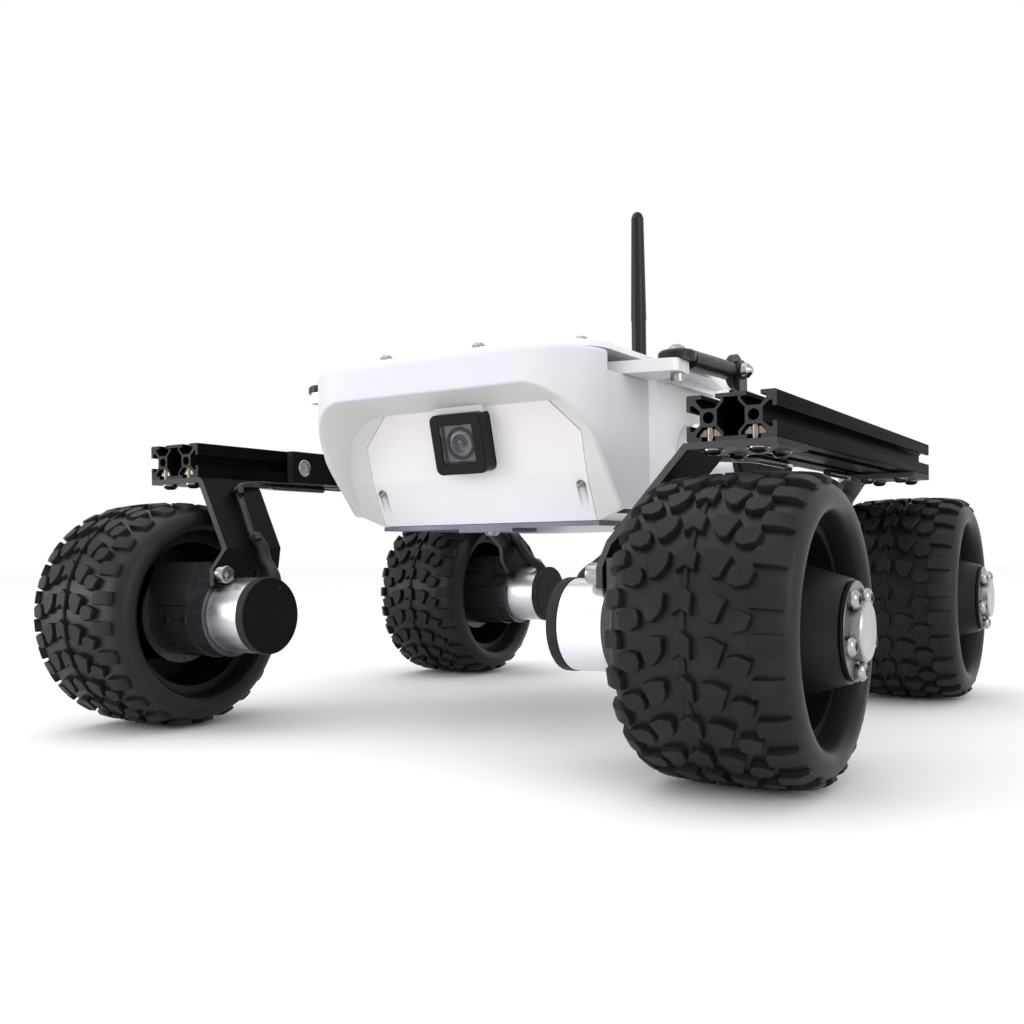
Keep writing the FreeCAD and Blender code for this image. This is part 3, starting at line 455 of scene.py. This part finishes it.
class Build:
    """Gathers faces in millimetres and makes one object of them that rides a body."""

    def __init__(self, *finishes):
        self.finishes = finishes
        self.points, self.faces, self.slots = [], [], []

    def add(self, points, faces, finish=None):
        """Faces over points, in a named finish or else the first."""
        first = len(self.points)
        slot = self.finishes.index(finish) if finish else 0
        self.points.extend(points)
        self.faces.extend(tuple(first + i for i in face) for face in faces)
        self.slots.extend([slot] * len(faces))

    def rings(self, rings, finish=None, closed=True):
        """Skin between rings with equal counts of points, closed at both ends or open."""
        count = len(rings[0])
        faces = []
        for row in range(len(rings) - 1):
            for i in range(count):
                j = (i + 1) % count
                faces.append((row * count + i, row * count + j, (row + 1) * count + j,
                              (row + 1) * count + i))
        if closed:
            faces.append(tuple(reversed(range(count))))
            faces.append(tuple((len(rings) - 1) * count + i for i in range(count)))
        self.add([p for ring in rings for p in ring], faces, finish)

    def mesh(self, name):
        """Mesh of the gathered faces, with their finishes and outward normals."""
        mesh = bpy.data.meshes.new(name)
        mesh.from_pydata([Vector(p) * MM for p in self.points], [], self.faces)
        for finish in self.finishes:
            mesh.materials.append(materials[finish])
        mesh.polygons.foreach_set("material_index", self.slots)
        outward = bmesh.new()
        outward.from_mesh(mesh)
        bmesh.ops.recalc_face_normals(outward, faces=outward.faces)
        outward.to_mesh(mesh)
        outward.free()
        return mesh

    def make(self, name, body, slot, instead=()):
        """Object that rides a body and stands instead of CAD nodes, if any are named."""
        piece = bpy.data.objects.new(name, self.mesh(name))
        bpy.context.scene.collection.objects.link(piece)
        smooth(piece)
        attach(piece, body)
        if instead:
            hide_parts(*instead)


def smooth(piece):
    """Smooth shading that keeps the sharp edges."""
    with bpy.context.temp_override(object=piece, active_object=piece, selected_objects=[piece],
                                   selected_editable_objects=[piece]):
        bpy.ops.object.shade_smooth_by_angle(angle=math.radians(SHARP_ANGLE))


def curve_point(before, start, end, after, share):
    """Point at a share of the way from start to end, on a smooth curve through four points."""
    return (start * 2 + (end - before) * share
            + (before * 2 - start * 5 + end * 4 - after) * share ** 2
            + (start * 3 - before - end * 3 + after) * share ** 3) / 2


def smooth_run(points, steps, first, last):
    """Smooth curve through points, led by one point before them and one after."""
    aims = [first] + points + [last]
    curve = [curve_point(*aims[i:i + 4], step / steps)
             for i in range(len(points) - 1) for step in range(steps)]
    return curve + [points[-1]]


# Tyres: the smooth carcass and the blocks of one pitch of the tread
TYRE_RADIUS = 65.0
TREAD_PITCHES = 24
PITCH_ANGLE = 2 * math.pi / TREAD_PITCHES
CARCASS_TURNS = TREAD_PITCHES * 4

# Height of the blocks and of the rib, and the share of it left at lengths from the pattern's middle
TREAD_HEIGHT, RIB_HEIGHT = 3.0, 1.3
SHOULDER_TAPER = ((30.0, 1.0), (34.0, 0.9), (38.5, 0.6))

# Furthest places of the blocks from the tyre's middle: bent round the carcass, and flat
TREAD_WIDEST, TREAD_REACH = 39.4, 41.0

# Bevel round a block's top, draft of its sides, and depth of its foot in the carcass
BLOCK_BEVEL, BLOCK_DRAFT, BLOCK_SINK = 0.3, 0.35, 0.6

# Least divisor of a mitre, so that a sharp corner doesn't move far
MITRE_FLOOR = 0.35

# For each wheel the pattern's shift along the axle, and its turn in pitches
TREAD_PLACES = {"front_left": (-3.6, 0.948), "front_right": (-7.4, 0.160), "rear_left": (-3.6, 0.45),
                "rear_right": (-6.0, 0.70)}

# Half section of the carcass as (along, radius); its first points are joined by a curve
CARCASS = ((0, 62.0), (10, 61.9), (20, 61.3), (27.5, 60.8), (32.0, 59.7), (35.4, 57.4), (37.2, 53.0),
           (36.6, 49.4), (34.2, 47.5), (30.5, 46.6), (26.5, 46.0), (25.3, 46.0), (25.3, 46.9), (22.9, 46.9),
           (22.9, 44.4))
CARCASS_CURVED, CARCASS_STEPS = 10, 4

# Outlines of the blocks as (across, around), flat; the middle ones stand on the centre line
BLOCKS = {
    "centre": ((0.0, -2.6), (3.8, 0.5), (3.6, 8.4), (0.0, 6.2), (-3.6, 8.4), (-3.8, 0.5)),
    "rib": ((-1.0, 5.5), (1.0, 5.5), (1.3, 15.5), (-1.3, 15.5)),
    "shield": ((7.3, 0.4), (8.3, 0.0), (11.9, 0.0), (17.2, 2.6), (13.7, 11.4), (11.3, 11.3), (8.6, 8.4),
               (7.2, 5.4)),
    "side": ((18.2, 6.9), (21.4, 6.2), (26.8, 8.3), (24.9, 13.6), (20.3, 14.9), (17.4, 13.4), (16.9, 9.9)),
    "shoulder": ((26.7, -1.9), (37.6, -1.6), (38.4, 2.2), (37.6, 5.9), (25.7, 5.6), (25.5, 0.6)),
}
MIDDLE_BLOCKS = ("centre", "rib")

# Places across at which the blocks are cut, so that they bend with the carcass
TREAD_CUTS = (12, 21, 28, 30.5, 33, 35.2, 37)


def carcass_half():
    """Half section as close (along, radius) points, curved as far as the dish."""
    curved = [Vector(point) for point in CARCASS[:CARCASS_CURVED]]
    mirrored = Vector((-curved[1].x, curved[1].y))
    curve = smooth_run(curved, CARCASS_STEPS, mirrored, curved[-1])
    return [tuple(point) for point in curve] + list(CARCASS[CARCASS_CURVED:])


def on_carcass(path, length, height):
    """Point (along, radius) at a length from the centre line, at a height over the carcass."""
    sign = 1 if length >= 0 else -1
    left = abs(length)
    for (a, ra), (b, rb) in zip(path, path[1:]):
        step = math.hypot(b - a, rb - ra)
        if left <= step:
            break
        left -= step
    share = left / step
    out = ((ra - rb) / step, (b - a) / step)
    along = min(a + (b - a) * share + out[0] * height, TREAD_WIDEST)
    return sign * along, ra + (rb - ra) * share + out[1] * height


def moved_in(outline, amount):
    """Outline with each corner moved inwards by an amount from both its edges."""
    result = []
    for before, point, after in zip(outline[-1:] + outline[:-1], outline, outline[1:] + outline[:1]):
        back = (Vector(point) - Vector(before)).normalized()
        ahead = (Vector(after) - Vector(point)).normalized()
        inward = Vector((-back.y, back.x)) + Vector((-ahead.y, ahead.x))
        inward = inward / max(inward.length_squared / 2, MITRE_FLOOR)
        result.append(tuple(Vector(point) + inward * amount))
    return result


def taper(length):
    """Share of the tread's height left at a length from the pattern's middle."""
    (near, full), (mid, part), (far, low) = SHOULDER_TAPER
    if length < near:
        return full
    if length < mid:
        return full + (part - full) * (length - near) / (mid - near)
    return part + (low - part) * (length - mid) / (far - mid)


def add_block(flat, name, sign, shift):
    """One block on one half, from its sunk foot to its bevelled top."""
    height = RIB_HEIGHT if name == "rib" else TREAD_HEIGHT
    outline = [(max(-TREAD_REACH, min(TREAD_REACH, sign * x + shift)), y) for x, y in BLOCKS[name]][::sign]
    levels = ((moved_in(outline, -BLOCK_DRAFT), -BLOCK_SINK), (outline, height - BLOCK_BEVEL),
              (moved_in(outline, BLOCK_BEVEL), height))
    rings = [[flat.verts.new((x, y, level)) for x, y in ring] for ring, level in levels]
    for low, high in zip(rings, rings[1:]):
        for i in range(len(low)):
            j = (i + 1) % len(low)
            flat.faces.new((low[i], low[j], high[j], high[i]))
    flat.faces.new(rings[-1])


def tread_pitch(shift):
    """Blocks of one pitch on both halves, flat: (across, around, height) points and faces."""
    flat = bmesh.new()
    for name in BLOCKS:
        for sign in (1,) if name in MIDDLE_BLOCKS else (1, -1):
            add_block(flat, name, sign, shift)
    for cut in TREAD_CUTS:
        for sign in (1, -1):
            bmesh.ops.bisect_plane(flat, geom=flat.verts[:] + flat.edges[:] + flat.faces[:],
                                   plane_co=(sign * cut, 0, 0), plane_no=(1, 0, 0))
    flat.verts.index_update()
    points = [(x, y, h * taper(abs(x - shift)) if h > 0 else h)
              for x, y, h in (v.co for v in flat.verts)]
    faces = [tuple(v.index for v in face.verts) for face in flat.faces]
    flat.free()
    return points, faces


def on_wheel(center, along, radius, angle):
    """Point on a wheel from its place along the axle, its radius and its angle from the top."""
    return (center.x + along, center.y - radius * math.sin(angle), center.z + radius * math.cos(angle))


def add_tread(build, center, path, shift, phase):
    """All pitches of the tread, bent round the carcass."""
    points, faces = tread_pitch(shift)
    for index in range(TREAD_PITCHES):
        bent = []
        for across, around, height in points:
            along, radius = on_carcass(path, across, height)
            angle = (index + phase) * PITCH_ANGLE + around / TYRE_RADIUS
            bent.append(on_wheel(center, along, radius, angle))
        build.add(bent, faces, "tread")


def make_tyres():
    """Carcass with its tread for each wheel, in the CAD tyre's place."""
    path = carcass_half()
    section = path + [(-a, r) for a, r in reversed(path[1:])]
    angles = [2 * math.pi * i / CARCASS_TURNS for i in range(CARCASS_TURNS)] + [0]
    for place, (shift, phase) in TREAD_PLACES.items():
        low, high = corners("tyre_" + place)
        center = (low + high) / 2
        build = Build("carcass", "tread")
        build.rings([[on_wheel(center, a, r, angle) for a, r in section] for angle in angles], closed=False)
        add_tread(build, center, path, shift, phase)
        build.make("tyre_look_" + place, "wheel_" + place, "tyre_rubber", ["tyre_" + place])


# Screw heads: outlines as (radius, height) shares, and the socket's shares of the radius and height
HEAD_SHARES = {
    "button": ((1.0, 0.0), (1.0, 0.2), (0.95, 0.45), (0.84, 0.70), (0.68, 0.90), (0.56, 1.0)),
    "cap": ((1.0, 0.0), (1.0, 0.86), (0.97, 0.94), (0.90, 1.0), (0.60, 1.0)),
    "dome": ((1.0, 0.0), (0.97, 0.35), (0.86, 0.66), (0.64, 0.90), (0.45, 1.0)),
}
SOCKET_SHARE, SOCKET_DEPTH_SHARE, SOCKET_TIP_SHARE = 0.55, 0.45, 0.2
ROUND_STEPS = 24

# An axis with more of Z than this counts as upright
UPRIGHT = 0.9


def ring_frame(axis):
    """The axis and two directions square to it and to each other."""
    axis = Vector(axis).normalized()
    first = axis.orthogonal() if abs(axis.z) > UPRIGHT else axis.cross(Vector((0, 0, 1)))
    first.normalize()
    return axis, first, axis.cross(first)


def ring_points(spot, axis, radii, height):
    """Points round an axis at a height over a spot, each at its own radius."""
    axis, first, second = ring_frame(axis)
    turns = [2 * math.pi * i / len(radii) for i in range(len(radii))]
    return [Vector(spot) + axis * height + (first * math.cos(turn) + second * math.sin(turn)) * radius
            for turn, radius in zip(turns, radii)]


def turned(build, spot, axis, outline, finish=None, steps=ROUND_STEPS):
    """Round body about an axis through (radius, height) points, closed at both ends."""
    build.rings([ring_points(spot, axis, [radius] * steps, height) for radius, height in outline], finish)


def hexagon(share):
    """Radius share of a regular hexagon at a share of a full turn."""
    return math.cos(math.pi / 6) / math.cos((share * 2 * math.pi) % (math.pi / 3) - math.pi / 6)


def screw(build, spot, axis, radius, height, head="button", finish=None):
    """Screw head with a hexagon socket, standing on a spot along an axis."""
    socket = radius * SOCKET_SHARE
    floor = height * (1 - SOCKET_DEPTH_SHARE)
    tip = socket * SOCKET_TIP_SHARE
    six = [socket * hexagon(i / ROUND_STEPS) for i in range(ROUND_STEPS)]
    levels = [([radius * share] * ROUND_STEPS, height * level) for share, level in HEAD_SHARES[head]]
    levels += [(six, height), (six, floor), ([tip] * ROUND_STEPS, floor - tip)]
    build.rings([ring_points(spot, axis, radii, level) for radii, level in levels], finish)


# Hubs: places along the axle are measured from the rover's middle
PLATE_THICKNESS, DISC_THICKNESS = 2.3, 4.5
SHAFT_FROM, DISC_TO = (corner.x for corner in corners("hub_front_left"))
PLATE_TO = DISC_TO - DISC_THICKNESS
PLATE_FROM = PLATE_TO - PLATE_THICKNESS
PLATE_RADIUS, DISC_RADIUS, SHAFT_RADIUS = 20.0, 12.0, 4.0
DISC_BEVEL = 0.7
FACE_BEVEL = DISC_BEVEL / 3
HUB_STEPS = 64
HUB_PARTS = (
    ("rim_black", ((SHAFT_RADIUS, SHAFT_FROM), (SHAFT_RADIUS, PLATE_FROM),
                   (PLATE_RADIUS - DISC_BEVEL, PLATE_FROM), (PLATE_RADIUS, PLATE_FROM + DISC_BEVEL),
                   (PLATE_RADIUS, PLATE_TO - FACE_BEVEL))),
    ("hub_dark", ((PLATE_RADIUS, PLATE_TO - FACE_BEVEL), (PLATE_RADIUS - FACE_BEVEL, PLATE_TO))),
    ("hub_grey", ((DISC_RADIUS, PLATE_TO - DISC_BEVEL), (DISC_RADIUS, DISC_TO - DISC_BEVEL),
                  (DISC_RADIUS - DISC_BEVEL, DISC_TO))),
)

# Hub screws: how many, the first one's angle, their circle, and the shank that shows under each head
HUB_SCREWS, HUB_SCREW_START, HUB_SCREW_CIRCLE = 5, 270, 15.8
HUB_SCREW_RADIUS, HUB_SCREW_HEIGHT = 4.0, 2.4
HUB_SHANK_RADIUS, HUB_SHANK_HEIGHT = HUB_SCREW_RADIUS * 0.7, 1.0


def add_hub_screws(build, center, axis):
    """Screws round a hub's plate, each on its shank."""
    top = PLATE_TO + HUB_SHANK_HEIGHT
    for index in range(HUB_SCREWS):
        angle = math.radians(HUB_SCREW_START + 360 / HUB_SCREWS * index)
        spot = center + Vector((0, math.cos(angle), math.sin(angle))) * HUB_SCREW_CIRCLE
        turned(build, spot, axis, ((HUB_SHANK_RADIUS, PLATE_TO - DISC_BEVEL), (HUB_SHANK_RADIUS, top)))
        screw(build, spot + axis * top, axis, HUB_SCREW_RADIUS, HUB_SCREW_HEIGHT)


def make_hubs():
    """Dark plate, raised disc and screws at each wheel, in the CAD hub's place."""
    for side, sign in SIDES.items():
        axis = Vector((sign, 0, 0))
        for end in ENDS:
            place = end + "_" + side
            low, high = corners("hub_" + place)
            center = Vector((0, (low.y + high.y) / 2, (low.z + high.z) / 2))
            build = Build("bolt_steel", "hub_grey", "rim_black", "hub_dark")
            for finish, outline in HUB_PARTS:
                turned(build, center, axis, outline, finish, HUB_STEPS)
            add_hub_screws(build, center, axis)
            build.make("hub_look_" + place, "wheel_" + place, "hub_grey", ["hub_" + place])


# Legs under the beams: two rows of screws on washers below each leg's flange
BEAM_BOTTOM = corners("beam_left")[0].z
LEG_SHEET = 3.0
FLANGE_BOTTOM = BEAM_BOTTOM - LEG_SHEET
SLOT_X, LEG_SCREW_Y = (162.0, 182.0), (115.0, 145.0)
LEG_SCREW_RADIUS, LEG_SCREW_HEIGHT = 4.05, 2.2
LEG_WASHER_RADIUS, LEG_WASHER_THICKNESS, LEG_WASHER_SINK = 4.75, 0.6, 0.1

# Cap screw of each clamp, on the leg's inner face
CLAMP_SCREW = (corners("leg_front_left")[0].x, 166.0, 88.0)
CLAMP_SCREW_RADIUS, CLAMP_SCREW_LENGTH = 5.0, 6.0

# Slot nuts: outline as (across, up from the beam's bottom), places of their ends and of their screw
NUT_OUTLINE = ((-4.6, 2.2), (4.6, 2.2), (4.6, 3.2), (2.5, 5.2), (-2.5, 5.2), (-4.6, 3.2))
NUT_ENDS = (148.4, 139.6)
NUT_SHANK_RADIUS, NUT_SHANK = 1.9, (0.2, 6.0)
NUT_SHANK_Y = NUT_ENDS[0] - NUT_SHANK_RADIUS / 2


def make_leg_screws():
    """Button screws under each leg's flange and the clamp's cap screw."""
    build = Build("screw_black", "bolt_steel")
    down = Vector((0, 0, -1))
    washer = ((LEG_WASHER_RADIUS, -LEG_WASHER_SINK), (LEG_WASHER_RADIUS, LEG_WASHER_THICKNESS))
    for x_sign, y_sign in WHEEL_SIGNS:
        for x in SLOT_X:
            for y in LEG_SCREW_Y:
                spot = Vector((x * x_sign, y * y_sign, FLANGE_BOTTOM))
                turned(build, spot, down, washer, "bolt_steel")
                screw(build, spot + down * LEG_WASHER_THICKNESS, down, LEG_SCREW_RADIUS, LEG_SCREW_HEIGHT)
        x, y, z = CLAMP_SCREW
        screw(build, (x * x_sign, y * y_sign, z), (-x_sign, 0, 0), CLAMP_SCREW_RADIUS, CLAMP_SCREW_LENGTH,
              "cap", "bolt_steel")
    build.make("leg_screws", "chassis", "bolt_steel")


def make_beam_nuts():
    """Slot nuts over the leg's screws, seen in the beams' ends."""
    build = Build("nut_bronze")
    shank = [(NUT_SHANK_RADIUS, height) for height in NUT_SHANK]
    for x_sign, y_sign in WHEEL_SIGNS:
        for x in SLOT_X:
            build.rings([[(x * x_sign + across, y * y_sign, BEAM_BOTTOM + up) for across, up in NUT_OUTLINE]
                         for y in NUT_ENDS])
            turned(build, (x * x_sign, NUT_SHANK_Y * y_sign, BEAM_BOTTOM), (0, 0, 1), shank)
    build.make("beam_nuts", "chassis", "bolt_steel")


# Set screws of the clamps, facing outwards
SET_SCREW_X, SET_SCREW_Y, SET_SCREW_Z = (150.9, 136.0), 176.6, 63.2
SET_SCREW_RADIUS, SET_SCREW_HEIGHT = 2.7, 0.6

# Bolt of each rocker plate, on its inner face
PLATE_BOLT = (corners("rocker_plate_left")[0].x, 67.5, 153.7)
PLATE_BOLT_RADIUS = 5.6
PLATE_BOLT_HEIGHT = PLATE_BOLT_RADIUS / 3

# Screw at each side of the face panel, at the top of its channel
PANEL_SCREW = (CHANNEL_X / MM, -88.3, CHANNEL_TOP / MM)
PANEL_SCREW_AXIS, PANEL_SCREW_RADIUS = (0, -0.75, 0.66), 2.1

# Bolts along the top cover's edge
COVER_TOP = corners("top_cover")[1].z
COVER_BOLTS = ((-33, -124), (27, -124), (78, -108), (-78, -108), (82, 0), (-82, 0), (82, 110), (-82, 110),
               (0, 112))
COVER_BOLT_RADIUS, COVER_BOLT_HEIGHT = 3.7, 3.2

# Bolt under the tab of the bottom plate
TAB_BOLT = (-0.5, -72.0, corners("bottom_plate")[0].z)
TAB_BOLT_RADIUS = 4.0
TAB_BOLT_HEIGHT = TAB_BOLT_RADIUS / 2


def make_small_screws():
    """Set screws of the clamps, bolts of the rocker plates, cover and tab, screws of the panel."""
    build = Build("bolt_steel", "screw_black")
    for x_sign, y_sign in WHEEL_SIGNS:
        for x in SET_SCREW_X:
            screw(build, (x * x_sign, SET_SCREW_Y * y_sign, SET_SCREW_Z), (0, y_sign, 0), SET_SCREW_RADIUS,
                  SET_SCREW_HEIGHT, "dome", "screw_black")
        x, y, z = PLATE_BOLT
        screw(build, (x * x_sign, y * y_sign, z), (-x_sign, 0, 0), PLATE_BOLT_RADIUS, PLATE_BOLT_HEIGHT)
    x, y, z = PANEL_SCREW
    for x_sign in SIDES.values():
        screw(build, (x * x_sign, y, z), PANEL_SCREW_AXIS, PANEL_SCREW_RADIUS, PANEL_SCREW_RADIUS, "cap")
    for x, y in COVER_BOLTS:
        screw(build, (x, y, COVER_TOP), (0, 0, 1), COVER_BOLT_RADIUS, COVER_BOLT_HEIGHT)
    screw(build, TAB_BOLT, (0, 0, -1), TAB_BOLT_RADIUS, TAB_BOLT_HEIGHT)
    build.make("small_screws", "chassis", "bolt_steel")


# Lens behind the camera's window: (radius, depth behind the bezel's front) of its parts; its lighter grey
# rings are painted reflections in the lens
CAMERA_FRONT, CAMERA_TILT = (0, -106.0, 156.5), 14.0
LENS_PARTS = (("bezel_black", ((8.9, 11.0), (8.9, 3.4), (8.3, 2.9), (7.6, 2.9), (7.1, 3.9))),
              ("lens_reflection_grey", ((7.1, 3.9), (6.0, 3.2), (5.3, 3.2), (5.0, 3.8))),
              ("lens_black", ((5.0, 3.8), (3.9, 4.3), (3.6, 3.9))),
              ("lens_reflection_grey", ((3.6, 3.9), (3.0, 3.8), (2.7, 4.2))),
              ("lens_glass", ((2.7, 4.2), (2.2, 3.9), (1.2, 3.7), (0.3, 3.6))))
LENS_STEPS = 48
SENSOR_HALF, SENSOR_DEPTH, SENSOR_THICKNESS = 9.9, 4.6, 1.0


def make_lens():
    """Stepped lens and the grey plate behind it, on the camera's tilted axis."""
    tilt = math.radians(CAMERA_TILT)
    axis = Vector((0, -math.cos(tilt), -math.sin(tilt)))
    up = Vector((0, -math.sin(tilt), math.cos(tilt))) * SENSOR_HALF
    across = Vector((SENSOR_HALF, 0, 0))
    build = Build("sensor_grey", "bezel_black", "lens_reflection_grey", "lens_black", "lens_glass")
    middle = Vector(CAMERA_FRONT) - axis * SENSOR_DEPTH
    build.rings([[middle - axis * back + across * x + up * z for x, z in SQUARE]
                 for back in (SENSOR_THICKNESS, 0)])
    for finish, outline in LENS_PARTS:
        behind = [(radius, -depth) for radius, depth in outline]
        turned(build, CAMERA_FRONT, axis, behind, finish, LENS_STEPS)
    build.make("lens_look", "chassis", "lens_black", ["camera_lens"])


# Block between the camera and the hood's ceiling
BOSS_LOW, BOSS_HIGH = (-16.0, -104.5, 172.0), (15.0, -97.0, 180.4)


def make_camera_boss():
    """Plain printed block that carries the camera's top edge."""
    (x0, y0, z0), (x1, y1, z1) = BOSS_LOW, BOSS_HIGH
    build = Build("printed_panel")
    build.rings([[(x0, y0, z), (x1, y0, z), (x1, y1, z), (x0, y1, z)] for z in (z0, z1)])
    build.make("camera_boss", "chassis", "printed_white")


# Front left motor lead as points along its run, and the two ties that hold it to the leg
SLEEVE_RADIUS, CABLE_RADIUS = 3.7, 2.2
SLEEVE_RUN = ((97.0, -146.0, 79.5), (98.6, -144.8, 86.0), (104.0, -142.4, 90.6), (109.6, -140.6, 95.8),
              (113.2, -139.0, 102.4), (116.8, -139.0, 106.8), (119.0, -139.6, 109.0))
CABLE_RUN = ((118.0, -139.4, 108.0), (121.4, -139.8, 111.6), (127.4, -137.2, 120.0), (134.6, -134.0, 129.0),
             (140.0, -131.4, 135.4), (143.4, -127.6, 139.2), (145.6, -120.0, 140.6), (147.0, -110.0, 141.0),
             (152.0, -97.0, 141.2), (157.4, -84.0, 141.5), (158.0, -60.0, 141.5), (158.0, -39.0, 141.5))
RUN_STEPS = 6
TIES = (Vector((118.6, -139.4, 108.6)), Vector((140.2, -131.2, 135.6)))
TIE_RADIUS, TIE_WIDTH = 3.9, 2.2
TIE_HEAD_RADIUS, TIE_HEAD_SIDE = 1.9, Vector((-TIE_RADIUS, -TIE_RADIUS / 2, 0))


def tube(build, points, radius, signs, finish=None):
    """Round tube along a smooth run, mirrored by the signs of its X and Y."""
    points = [Vector(point) for point in points]
    curve = smooth_run(points, RUN_STEPS, points[0] * 2 - points[1], points[-1] * 2 - points[-2])
    side = (curve[1] - curve[0]).orthogonal().normalized()
    rings = []
    for before, point, after in zip(curve[:1] + curve, curve, curve[1:] + curve[-1:]):
        ahead = (after - before).normalized()
        side = (side - ahead * side.dot(ahead)).normalized()
        other = ahead.cross(side)
        ring = [point + (side * math.cos(turn) + other * math.sin(turn)) * radius
                for turn in (2 * math.pi * i / ROUND_STEPS for i in range(ROUND_STEPS))]
        rings.append([(p.x * signs[0], p.y * signs[1], p.z) for p in ring])
    build.rings(rings, finish)


def make_leads():
    """Motor leads with their ties, in the CAD leads' place."""
    build = Build("lead_black", "screw_black")
    along = (TIES[1] - TIES[0]).normalized() * TIE_WIDTH
    for x_sign, y_sign in WHEEL_SIGNS:
        signs = (x_sign, -y_sign)
        tube(build, SLEEVE_RUN, SLEEVE_RADIUS, signs)
        tube(build, CABLE_RUN, CABLE_RADIUS, signs, "screw_black")
        for tie in TIES:
            head = tie + TIE_HEAD_SIDE
            tube(build, (tie - along / 2, tie + along / 2), TIE_RADIUS, signs, "screw_black")
            tube(build, (head - along, head + along), TIE_HEAD_RADIUS, signs, "screw_black")
    build.make("lead_look", "chassis", "lead_black", ["motor_leads"])


# Surroundings: the colour of their light, and the colour that is seen
WORLD_LIGHT, WORLD_SEEN = (0.98, 0.985, 1.0, 1), (1, 1, 1, 1)

# Lamps: name, place, the point each faces, size, power and colour
WARM_WHITE, PLAIN_WHITE = (1.0, 0.99, 0.98), (1, 1, 1)
LAMPS = (
    ("top", (-0.35, -0.25, 1.5), (0, 0, 0.1), (1.6, 1.6), 6.0, WARM_WHITE),
    ("side", (1.6, -0.6, 0.7), (0, 0, 0.1), (1.0, 1.0), 6.0, WARM_WHITE),
    ("front", (-1.45, -1.2, 0.4), (-0.1, -0.1, 0.1), (0.7, 0.8), 8.0, PLAIN_WHITE),
)
FLOOR_REACH = 6.0


def make_world():
    """White surroundings to look at, and a plain soft light on the object."""
    world = bpy.data.worlds.new("studio")
    bpy.context.scene.world = world
    world.use_nodes = True
    tree = world.node_tree
    tree.nodes.clear()
    rays = tree.nodes.new("ShaderNodeLightPath").outputs
    seen = rays["Is Camera Ray"]
    for kind in ("Is Glossy Ray", "Is Transmission Ray"):
        either = tree.nodes.new("ShaderNodeMath")
        either.operation = "MAXIMUM"
        tree.links.new(seen, either.inputs[0])
        tree.links.new(rays[kind], either.inputs[1])
        seen = either.outputs[0]
    mix = tree.nodes.new("ShaderNodeMixShader")
    tree.links.new(seen, mix.inputs["Fac"])
    for slot, tint in ((1, WORLD_LIGHT), (2, WORLD_SEEN)):
        background = tree.nodes.new("ShaderNodeBackground")
        background.inputs["Color"].default_value = tint
        tree.links.new(background.outputs[0], mix.inputs[slot])
    output = tree.nodes.new("ShaderNodeOutputWorld")
    tree.links.new(mix.outputs[0], output.inputs["Surface"])


def make_lamp(name, place, target, size, power, tint):
    """Flat lamp that faces a point."""
    data = bpy.data.lights.new(name, "AREA")
    data.shape = "RECTANGLE"
    data.size, data.size_y = size
    data.energy = power
    data.color = tint
    lamp = bpy.data.objects.new(name, data)
    lamp.location = place
    lamp.rotation_mode = "QUATERNION"
    lamp.rotation_quaternion = (Vector(target) - Vector(place)).to_track_quat("-Z", "Y")
    bpy.context.scene.collection.objects.link(lamp)


def make_floor():
    """Wide pale floor that keeps the object's shadow."""
    mesh = bpy.data.meshes.new("floor")
    mesh.from_pydata([(x * FLOOR_REACH, y * FLOOR_REACH, 0) for x, y in SQUARE], [], [(0, 1, 2, 3)])
    floor = bpy.data.objects.new("floor", mesh)
    bpy.context.scene.collection.objects.link(floor)
    n = Nodes("floor")
    mesh.materials.append(n.finish(Base_Color=n.clouded((3, 2), ((0.98, 0.98, 0.98), (0.99, 0.99, 0.99))),
                                   Roughness=0.9, Specular_IOR_Level=0.1))


make_camera()
bpy.context.scene.view_settings.view_transform = "Standard"
dress_nodes()
make_tyres()
make_hubs()
make_leg_screws()
make_beam_nuts()
make_leads()
make_small_screws()
make_lens()
make_camera_boss()
make_world()
for lamp in LAMPS:
    make_lamp(*lamp)
make_floor()
